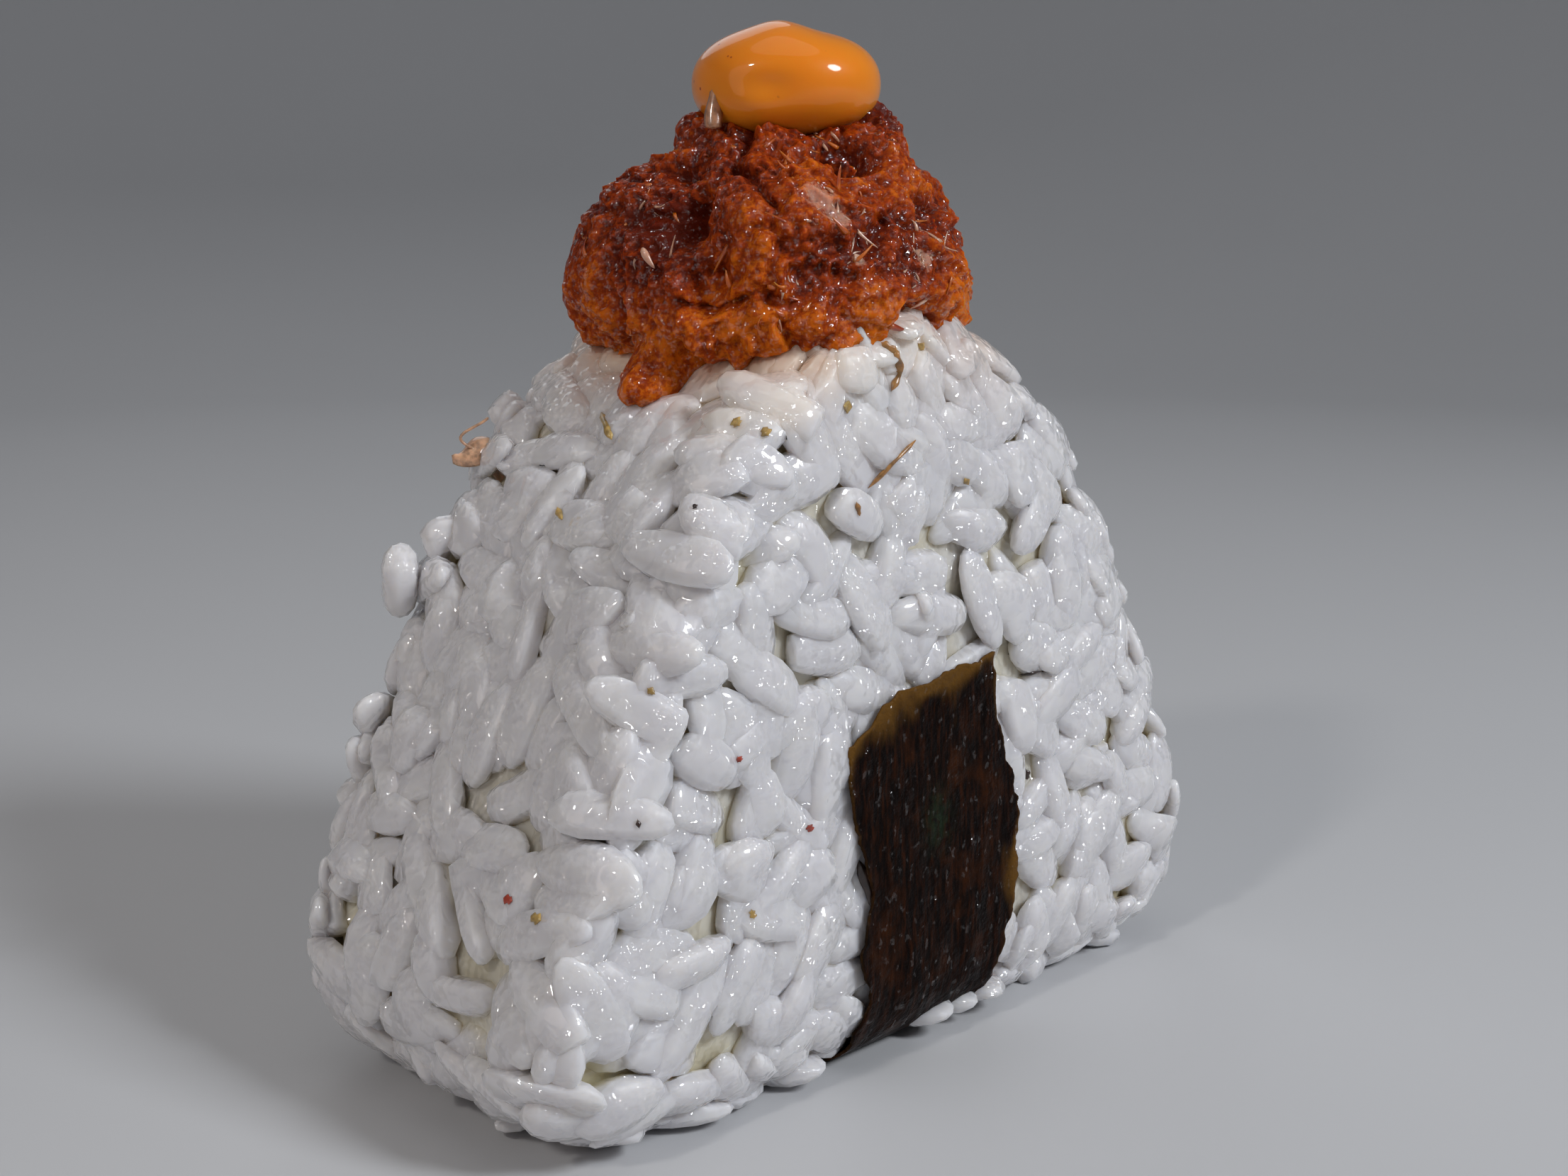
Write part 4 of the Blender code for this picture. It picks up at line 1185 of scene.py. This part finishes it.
def seaweed_material():
    """Roasted seaweed: nearly black brown with fibres along it, with a painted amber glow where light comes
    through its thin places.
    """
    look = settings().seaweed
    recipe = Recipe("roasted_seaweed", Specular_IOR_Level=0.05, Coat_Roughness=0.12)
    where = recipe.add("ShaderNodeUVMap", uv_map="along").outputs["UV"]
    fibre = recipe.noise(1.0, 4, 0.65, where, (2600, 330, 1))
    patches = recipe.noise(1.0, 3, 0.55, where, (420, 170, 1))
    base = recipe.mix(recipe.span(fibre, 0.42, 0.72), look.dark_colour, look.brown_colour)
    rust = recipe.span(recipe.noise(3.5 * MM, 3), 0.5, 0.75, 0.0, 0.5)
    base = recipe.mix(rust, base, look.rust_colour)
    speckle = recipe.span(recipe.noise(0.8 * MM), 0.35, 0.6)
    green = recipe.combine(recipe.attribute("green"), speckle, "MULTIPLY")
    base = recipe.mix(green, base, look.green_colour)
    # Painted glow: amber where light comes through the thin ends, the right edge's bulge and the edges
    thin = recipe.combine(recipe.attribute("thin"), patches)
    base = recipe.mix(recipe.span(thin, 0.75, 1.4), base, look.amber_colour)
    fine = recipe.bump(fibre, 0.10 * MM, 0.8)
    coarse = recipe.bump(recipe.noise(0.9 * MM, 3), 0.45 * MM, 0.8, fine)
    wet = recipe.span(recipe.noise(1.0, 2, 0.5, where, (1500, 900, 1)), 0.61, 0.68, 0.0, 0.8)
    glints = recipe.bump(recipe.noise(0.7 * MM, 1), 0.6 * MM)
    recipe.set(Base_Color=base, Normal=coarse, Roughness=recipe.span(patches, 0.3, 0.7, 0.28, 0.6))
    recipe.set(Coat_Weight=wet, Coat_Normal=glints)
    return recipe.material


def strip_section(x, angle):
    """Points at a place along X and an angle round the body, in the middle of the sheet."""
    start = xyz(x, 0, BODY_CENTRE)
    direction = xyz(0, np.cos(angle), np.sin(angle))
    return start + direction * reach(start, direction, STRIP_SINK)[..., None]


def face_angle(height):
    """Angle above the body's middle at which its face reaches this height."""
    return np.arctan((height - BODY_CENTRE) / (PRESS_THICKNESS / 2))


SHEET_ROWS, SHEET_COLUMNS = 420, 90
SHEET_FLOOR = 0.12 * MM  # the least height of its skin above the table
END_FADE = 14 * MM  # how far the slant of a torn end reaches along the sheet
PATH_STEPS = 900
WRINKLE_START = (0.5 * MM, 4 * MM)  # heights between which the wrinkles grow
EDGE_CURL, CURL_REACH = 0.22 * MM, 1.2 * MM


def tear(places, height, size, seed, fringe=0.0, fringe_seed=0):
    """How far a torn edge wanders at these places: rough noise, and a fine fringe."""
    fine = fringe * noise(places, 0.45 * MM, fringe_seed) if fringe else 0
    return (height * rough_noise(places, size * MM, seed, 4) + fine) * MM


def strip_sheet():
    """The sheet's middle surface: rows at even distances round the body, between its two torn
    edges. With it come each point's distance from the nearest edge and its place on the flat
    sheet."""
    top = face_angle(STRIP_TOP)
    angles = np.linspace(math.pi - top, 2 * math.pi + top, PATH_STEPS)
    path = strip_section(np.zeros(len(angles)), angles)
    path[:, 2] = np.maximum(path[:, 2], STRIP_FLOOR)
    along = np.concatenate([[0], np.cumsum(np.linalg.norm(np.diff(path, axis=0), axis=1))])
    even = np.linspace(0, along[-1], SHEET_ROWS)
    row_angle = np.interp(even, along, angles)
    places, left, right = np.array(STRIP_OUTLINE).T * MM
    ragged = xyz(even, 0, 0)
    low = np.interp(even, places, left) + tear(ragged, 0.5, 2.6, 51, 0.12, 58)
    high = np.interp(even, places, right) + tear(ragged, 0.6, 2.2, 56, 0.12, 59)
    across = np.linspace(0, 1, SHEET_COLUMNS)
    x = low[:, None] + (high - low)[:, None] * across[None, :]
    torn = xyz(x[0], 0, 0)
    front_x, front_z = np.array(STRIP_FRONT_END).T * MM
    back_x, back_z = np.array(STRIP_BACK_END).T * MM
    front_z = np.interp(x[0], front_x, front_z) + tear(torn, 0.45, 1.6, 61)
    back_z = np.interp(x[-1], back_x, back_z) + tear(torn, 0.5, 1.9, 66)
    front_slant = math.pi - face_angle(front_z) - row_angle[0]
    back_slant = 2 * math.pi + face_angle(back_z) - row_angle[-1]
    fade = np.clip(1 - even / END_FADE, 0, 1)[:, None]
    fade_back = np.clip(1 - (along[-1] - even) / END_FADE, 0, 1)[:, None]
    angle = row_angle[:, None] + front_slant[None, :] * fade + back_slant[None, :] * fade_back
    points = strip_section(x, angle)
    edge = np.minimum(x - low[:, None], high[:, None] - x)
    end = np.minimum(even, along[-1] - even)[:, None]
    uv = xyz(x, even[:, None])
    return points, np.minimum(edge, end), uv


def sheet_faces(rows, columns):
    """Faces of a closed sheet: its outer skin, its inner skin and the wall round its rim."""
    index = np.arange(rows * columns).reshape(rows, columns)
    a, b = index[:-1, :-1].ravel(), index[:-1, 1:].ravel()
    c, d = index[1:, 1:].ravel(), index[1:, :-1].ravel()
    skin = np.stack([a, d, c, b], axis=-1)
    under = np.stack([a, b, c, d], axis=-1) + rows * columns
    rim = np.concatenate([index[0, :], index[1:, -1], index[-1, -2::-1], index[-2:0:-1, 0]])
    after = np.roll(rim, -1)
    wall = np.stack([rim, after, after + rows * columns, rim + rows * columns], axis=-1)
    return np.concatenate([skin, under, wall]).tolist()


def sheet_marks(points, inland, uv):
    """Where the sheet is thin enough to let light through, and where it is green: at its ends, at
    the right edge's bulge and along its edges, and in one soft patch."""
    x, along = uv[..., 0], uv[..., 1]
    patchy = 0.85 + 0.8 * noise(points, 2.2 * MM, 73)
    ends = np.exp(-along / (2.2 * MM)) + np.exp(-(along.max() - along) / (1.4 * MM))
    amber = np.exp(-(((along - 17 * MM) / (3.2 * MM)) ** 2) - (x.max() - x) / (1.8 * MM))
    thin = ends * patchy + 1.2 * amber + 0.4 * np.exp(-inland / (0.3 * MM))
    middle_x, middle_z, half_x, half_z = GREEN_PATCH
    green = 0.8 * hump(x, middle_x, half_x) * hump(points[..., 2], middle_z, half_z)
    return {"thin": np.stack([thin, thin]), "green": np.stack([green, green])}


class RICEBALL_OT_seaweed(Operator):
    """Make the seaweed strip, a thin wrinkled sheet with torn edges"""

    bl_idname = "rice_ball.seaweed"
    bl_label = "Seaweed Strip"

    def execute(self, context):
        look = settings().seaweed
        points, inland, uv = strip_sheet()
        normals = unit(gauge_slope(points))
        wrinkles = rough_noise(points * (1.6, 1, 0.55), 3.4 * MM, 71, 4)
        wrinkles = wrinkles + 0.5 * noise(points, 1.1 * MM, 77)
        lift = look.wrinkle * wrinkles * smooth_step(points[..., 2], *WRINKLE_START)
        lift += EDGE_CURL * (1 - smooth_step(inland, 0.0, CURL_REACH)) * noise(points, 2.4 * MM, 79)
        points = points + normals * lift[..., None]
        half = look.thickness / 2
        outer, inner = points + normals * half, points - normals * half
        outer[..., 2] = np.maximum(outer[..., 2], SHEET_FLOOR)
        inner[..., 2] = np.maximum(inner[..., 2], SHEET_FLOOR + look.thickness)
        faces = sheet_faces(SHEET_ROWS, SHEET_COLUMNS)
        marks = sheet_marks(points, inland, uv)
        obj = new_object("seaweed_sheet", np.concatenate([outer, inner]), faces, marks)
        layer = obj.data.uv_layers.new(name="along")
        corners = read_values(obj.data.loops, "vertex_index", kind=np.int32)
        both = np.concatenate([uv.reshape(-1, 2), uv.reshape(-1, 2)])
        layer.data.foreach_set("uv", both[corners].astype(np.float32).ravel())
        finish_object(obj, seaweed_material(), "seaweed_strip")
        return {"FINISHED"}


def leaf(path, side_way, widths, thickness, cup=0.0, sides=8):
    """A closed thin body along a path: each ring is a flat ellipse of the given width and
    thickness whose edges are bent up by the cup, and its ends are closed by poles."""
    along = unit(np.gradient(path, axis=0))
    across = unit(side_way - along * np.sum(side_way * along, axis=1)[:, None])
    up = np.cross(along, across)
    turn = 2 * np.pi * np.arange(sides) / sides
    out = np.cos(turn)[None, :, None] * across[:, None, :] * widths[:, None, None] / 2
    lift = np.sin(turn)[None, :] * thickness / 2 + cup * np.cos(turn)[None, :] ** 2
    rings = path[:, None, :] + out + up[:, None, :] * lift[..., None]
    ends = np.stack([path[0] - along[0] * thickness / 2, path[-1] + along[-1] * thickness / 2])
    return np.concatenate([rings.reshape(-1, 3), ends])


def leaf_object(name, leaves, material, sides=8):
    """One object of leaves that all have the same number of rings."""
    rings = (len(leaves[0]) - 2) // sides
    obj = new_object(name, np.stack(leaves), many_faces(rings, sides, len(leaves)))
    finish_object(obj, material)


def scrap_material(name, tint, shine=0.6):
    """A wet scrap: its colour mottled darker, with a little light inside."""
    recipe = Recipe(
        name,
        Roughness=0.4,
        Subsurface_Weight=0.3,
        Subsurface_Radius=(1.0, 0.5, 0.3),
        Subsurface_Scale=0.6 * MM,
        Coat_Weight=shine,
        Coat_Roughness=0.12,
    )
    dark = tuple(0.45 * part for part in tint)
    base = recipe.mix(recipe.span(recipe.noise(0.6 * MM, 3), 0.35, 0.7), tint, dark)
    recipe.set(Base_Color=base, Normal=recipe.bump(recipe.noise(0.35 * MM), 0.06 * MM, 0.6))
    return recipe.material


# Scraps on the rice, as seen in the plane of its front face: start and end (x, z), width, all in mm
GOLDEN_SCRAPS = (
    ((-6.9, 43.5), (-2.2, 46.3), 0.32), ((-5.7, 53.3), (-4.3, 52.6), 0.55),
    ((-4.4, 52.8), (-3.8, 51.0), 0.60), ((-3.8, 51.2), (-4.7, 50.0), 0.45),
    ((-8.1, 42.6), (-7.8, 41.7), 0.35),
)
YELLOW_SCRAPS = (
    ((-30.3, 50.6), (-29.6, 49.0), 0.55), ((-19.5, 49.3), (-19.1, 48.9), 0.75),
    ((-16.9, 48.5), (-16.5, 48.0), 0.70), ((-9.4, 49.3), (-8.7, 49.2), 0.80),
    ((-2.0, 53.0), (-1.5, 52.6), 0.60), ((-33.8, 45.3), (-33.5, 44.6), 0.50),
    ((-18.1, 15.9), (-17.9, 15.3), 0.45), ((-27.0, 33.0), (-26.5, 32.6), 0.45),
    ((3.2, 43.0), (3.6, 42.6), 0.45), ((-36.5, 20.5), (-35.9, 20.1), 0.70),
)
DARK_SCRAPS = (
    ((10.1, 27.2), (12.7, 27.0), 0.30), ((11.1, 19.5), (11.3, 18.7), 0.55),
    ((-7.6, 16.8), (-6.0, 12.8), 0.75), ((-23.0, 44.2), (-22.8, 44.0), 0.35),
    ((-28.0, 24.6), (-27.9, 24.1), 0.30),
)
RED_SCRAPS = (
    ((-19.3, 26.9), (-19.1, 26.6), 0.50), ((-12.7, 20.6), (-12.4, 20.2), 0.55),
    ((-38.5, 22.2), (-38.0, 21.9), 0.60),
)
# Each piece of scraps: its name, the table that places them, and their colour
SCRAPS = (
    ("golden_scraps", GOLDEN_SCRAPS, (0.42, 0.20, 0.05)),
    ("yellow_scraps", YELLOW_SCRAPS, (0.52, 0.34, 0.10)),
    ("dark_scraps", DARK_SCRAPS, (0.035, 0.014, 0.008)),
    ("red_scraps", RED_SCRAPS, (0.42, 0.05, 0.02)),
)
FRONT_FACE = -15.8  # the plane's place along Y, in mm
SCRAP_RINGS, SCRAP_THICKNESS = 9, 0.22 * MM
SCRAP_LIFT = 0.12 * MM


def draped(rice, scrap):
    """A thin leaf laid on the rice where the lines of sight through the scrap's path meet it."""
    (x0, z0), (x1, z1), width = scrap
    t = np.linspace(0, 1, SCRAP_RINGS)
    seen = xyz(x0 + (x1 - x0) * t, FRONT_FACE, z0 + (z1 - z0) * t) * MM
    eye = camera_place()
    landed = []
    for spot in seen:
        way = (Vector(spot) - eye).normalized()
        hit, place, _, _ = rice.ray_cast(eye, way)
        landed.append(np.array(place if hit else spot) - np.array(way) * SCRAP_LIFT)
    path = np.array(landed)
    path[1:-1] = (path[:-2] + path[1:-1] + path[2:]) / 3
    side = np.cross(np.gradient(path, axis=0), np.array(eye) - path)
    shape = np.sqrt(np.clip(1 - (2 * t - 1) ** 4, 0.05, 1)) * (1 + 0.25 * np.sin(9 * t + x0))
    return leaf(path, side, width * MM * shape, SCRAP_THICKNESS)


FLAKE_ROOT, FLAKE_TIP = np.array((-16.8, 10.0, 42.3)), np.array((-21.0, 12.7, 44.2))  # mm
FLAKE_ARCH = np.array((0.2, 0.3, 1.5))
FLAKE_RINGS, FLAKE_SIDES = 22, 16
HAIR_RINGS, HAIR_WIDTH = 18, 0.30 * MM
SHRED_RINGS = 16


def flake_points():
    """The flake: a cupped sheet that rises from the shoulder, arches and narrows to its tip."""
    t = np.linspace(0, 1, FLAKE_RINGS)[:, None]
    path = (FLAKE_ROOT + (FLAKE_TIP - FLAKE_ROOT) * t + FLAKE_ARCH * np.sin(np.pi * t) ** 2) * MM
    along = t[:, 0]
    widths = 2.7 - 0.7 * along + 0.5 * np.sin(11 * along)
    widths = widths * np.sqrt(np.sin(0.25 + 2.7 * along)) * MM
    side = np.tile((0.55, 0.1, 0.85), (FLAKE_RINGS, 1)) + 0.5 * t * np.array((0.6, 0.4, -0.3))
    return leaf(path, side, widths, 0.45 * MM, 0.55 * MM, FLAKE_SIDES)


def hair_points():
    """A hair on the flake, which rises and sways to one side and back."""
    t = np.linspace(0, 1, HAIR_RINGS)
    sway = np.sin(4.2 * t)
    path = xyz(-19.6 - 0.9 * sway, 12.0 + 0.6 * sway, 44.6 + 2.3 * t) * MM
    side = np.tile((0.6, 0.8, 0.0), (HAIR_RINGS, 1))
    return leaf(path, side, np.full(HAIR_RINGS, HAIR_WIDTH), SCRAP_THICKNESS)


def sauce_shred_points():
    """The pale shred that stands at the sauce's left, blunt at its top."""
    t = np.linspace(0, 1, SHRED_RINGS)
    path = xyz(-7.2 + 0.9 * t, -0.6 + 0.3 * np.sin(3 * t), 67.8 + 3.6 * t) * MM
    widths = (1.15 + 0.2 * np.sin(8 * t)) * np.sqrt(np.clip(1.02 - t**9, 0.06, 1)) * MM
    return leaf(path, np.tile((0.7, -0.7, 0.1), (SHRED_RINGS, 1)), widths, 0.4 * MM, 0.2 * MM)


class RICEBALL_OT_scraps(Operator):
    """Add the scraps on the rice, the curled flake at its shoulder and the shred by the sauce"""

    bl_idname = "rice_ball.scraps"
    bl_label = "Scraps"

    def execute(self, context):
        rice = bpy.data.objects["rice_grains"]
        context.view_layer.update()
        for name, scraps, tint in SCRAPS:
            leaves = [draped(rice, scrap) for scrap in scraps]
            leaf_object(name, leaves, scrap_material(name, tint))
        look = settings().tuna
        pink = scrap_material("fish_flake", look.flake_colour, 0.9)
        leaf_object("fish_flake", [flake_points()], pink, FLAKE_SIDES)
        leaf_object("flake_hair", [hair_points()], pink)
        pale = scrap_material("sauce_shred", look.strip_colour, 0.9)
        leaf_object("sauce_shred", [sauce_shred_points()], pale)
        return {"FINISHED"}


FLOOR_SIDES = 96
FLAT_RINGS, BEND_RINGS = 12, 24


def floor_shape(bowl_radius):
    """Points and faces of a round bowl: a flat floor, then a quarter circle up to a wall, carried
    round the middle."""
    bend = np.linspace(0, math.pi / 2, BEND_RINGS)
    curve = bowl_radius * 0.5
    flat = np.linspace(0.02, curve, FLAT_RINGS)
    radius = np.concatenate([flat, curve + curve * np.sin(bend)])
    height = np.concatenate([np.zeros(FLAT_RINGS), curve * (1 - np.cos(bend))])
    turn = 2 * np.pi * np.arange(FLOOR_SIDES) / FLOOR_SIDES
    x, y = radius[:, None] * np.cos(turn), radius[:, None] * np.sin(turn)
    index = np.arange(x.size).reshape(x.shape)
    after = np.roll(index, -1, axis=1)
    quads = np.stack([index[:-1], index[1:], after[1:], after[:-1]], axis=-1).reshape(-1, 4)
    return xyz(x, y, height[:, None]), [list(range(FLOOR_SIDES))] + quads.tolist()


class RICEBALL_OT_stage(Operator):
    """Set the pale floor, the soft lights and the camera"""

    bl_idname = "rice_ball.stage"
    bl_label = "Stage"

    def execute(self, context):
        look = settings().stage
        scene = bpy.context.scene
        floor = new_object("floor", *floor_shape(look.bowl_radius))
        recipe = Recipe("pale_floor", Roughness=0.55)
        mottled = recipe.span(recipe.noise(0.12, 2), 0.3, 0.7, 0.0, 0.15)
        base = recipe.mix(mottled, look.floor_colour, tuple(0.93 * c for c in look.floor_colour))
        recipe.set(Base_Color=base)
        floor.data.materials.append(recipe.material)
        world = bpy.data.worlds.new("studio")
        world.use_nodes = True
        backdrop = world.node_tree.nodes["Background"]
        backdrop.inputs["Color"].default_value = WORLD_COLOUR
        backdrop.inputs["Strength"].default_value = WORLD_STRENGTH
        scene.world = world
        for light in LIGHTS:
            add_light(*light)
        add_camera(scene)
        scene.view_settings.view_transform = "Standard"
        return {"FINISHED"}


# Name, place and size in metres, power in watts and colour of each softbox; all face the rice
LIGHTS = (
    ("key_softbox", (0.12, -0.42, 0.36), 0.15, 1.95, (0.91, 0.95, 1.0)),
    ("left_fill", (-0.45, 0.02, 0.22), 0.30, 0.16, (1.0, 0.85, 0.76)),
    ("back_fill", (0.22, 0.40, 0.36), 0.35, 0.25, (0.95, 0.97, 1.0)),
    ("top_glow", (-0.02, -0.02, 0.65), 0.50, 0.38, (1.0, 0.98, 0.96)),
    ("left_sparkle", (-0.40, -0.06, 0.36), 0.05, 0.45, (1.0, 0.97, 0.93)),
)
LIGHTS_AIM = (0, 0, 0.035)
WORLD_COLOUR, WORLD_STRENGTH = (0.78, 0.82, 0.9, 1), 0.10

CAMERA_AZIMUTH = math.radians(-44.5)
CAMERA_ELEVATION = math.radians(11.93)
CAMERA_DISTANCE = 153.86 * MM
CAMERA_AIM = (-0.03 * MM, -0.516 * MM, 33.16 * MM)
CAMERA_LENS = 45.72


def aim(obj, place, target):
    obj.location = place
    obj.rotation_euler = (Vector(target) - Vector(place)).to_track_quat("-Z", "Y").to_euler()


def add_light(name, place, size, power, tint):
    lamp = bpy.data.lights.new(name, "AREA")
    lamp.shape = "DISK"
    lamp.size = size
    lamp.energy = power
    lamp.color = tint
    aim(linked(name, lamp), place, LIGHTS_AIM)


def camera_place():
    level = math.cos(CAMERA_ELEVATION)
    back = (math.sin(CAMERA_AZIMUTH) * level, -math.cos(CAMERA_AZIMUTH) * level, math.sin(CAMERA_ELEVATION))
    return Vector(CAMERA_AIM) + Vector(back) * CAMERA_DISTANCE


def add_camera(scene):
    data = bpy.data.cameras.new("camera")
    data.lens = CAMERA_LENS
    data.sensor_width = 36
    data.clip_start = 0.005
    obj = linked("camera", data)
    aim(obj, camera_place(), CAMERA_AIM)
    scene.camera = obj


class RICEBALL_PT_panel(Panel):
    """Lists the rice ball's sizes, colours and operators"""

    bl_idname = "RICEBALL_PT_panel"
    bl_label = "Rice Ball"
    bl_space_type = "VIEW_3D"
    bl_region_type = "UI"
    bl_category = "Rice Ball"

    def draw(self, context):
        for group in ("rice", "seaweed", "tuna", "sauce", "stage"):
            box = self.layout.box()
            box.label(text=group.capitalize())
            part = getattr(settings(), group)
            for key in part.bl_rna.properties.keys():
                if key not in ("rna_type", "name"):
                    box.prop(part, key)
        for operator in OPERATORS:
            self.layout.operator(operator.bl_idname)


OPERATORS = (
    RICEBALL_OT_rice,
    RICEBALL_OT_seaweed,
    RICEBALL_OT_mince,
    RICEBALL_OT_shreds,
    RICEBALL_OT_sauce,
    RICEBALL_OT_scraps,
    RICEBALL_OT_stage,
)
GROUPS = (RiceSettings, SeaweedSettings, TunaSettings, SauceSettings, StageSettings, RiceBallSettings)


def register():
    for item in (*GROUPS, *OPERATORS, RICEBALL_PT_panel):
        bpy.utils.register_class(item)
    bpy.types.Scene.rice_ball = PointerProperty(type=RiceBallSettings)


def unregister():
    del bpy.types.Scene.rice_ball
    for item in reversed((*GROUPS, *OPERATORS, RICEBALL_PT_panel)):
        bpy.utils.unregister_class(item)


def main():
    register()
    for operator in OPERATORS:
        group, name = operator.bl_idname.split(".")
        getattr(getattr(bpy.ops, group), name)()


if __name__ == "__main__":
    main()
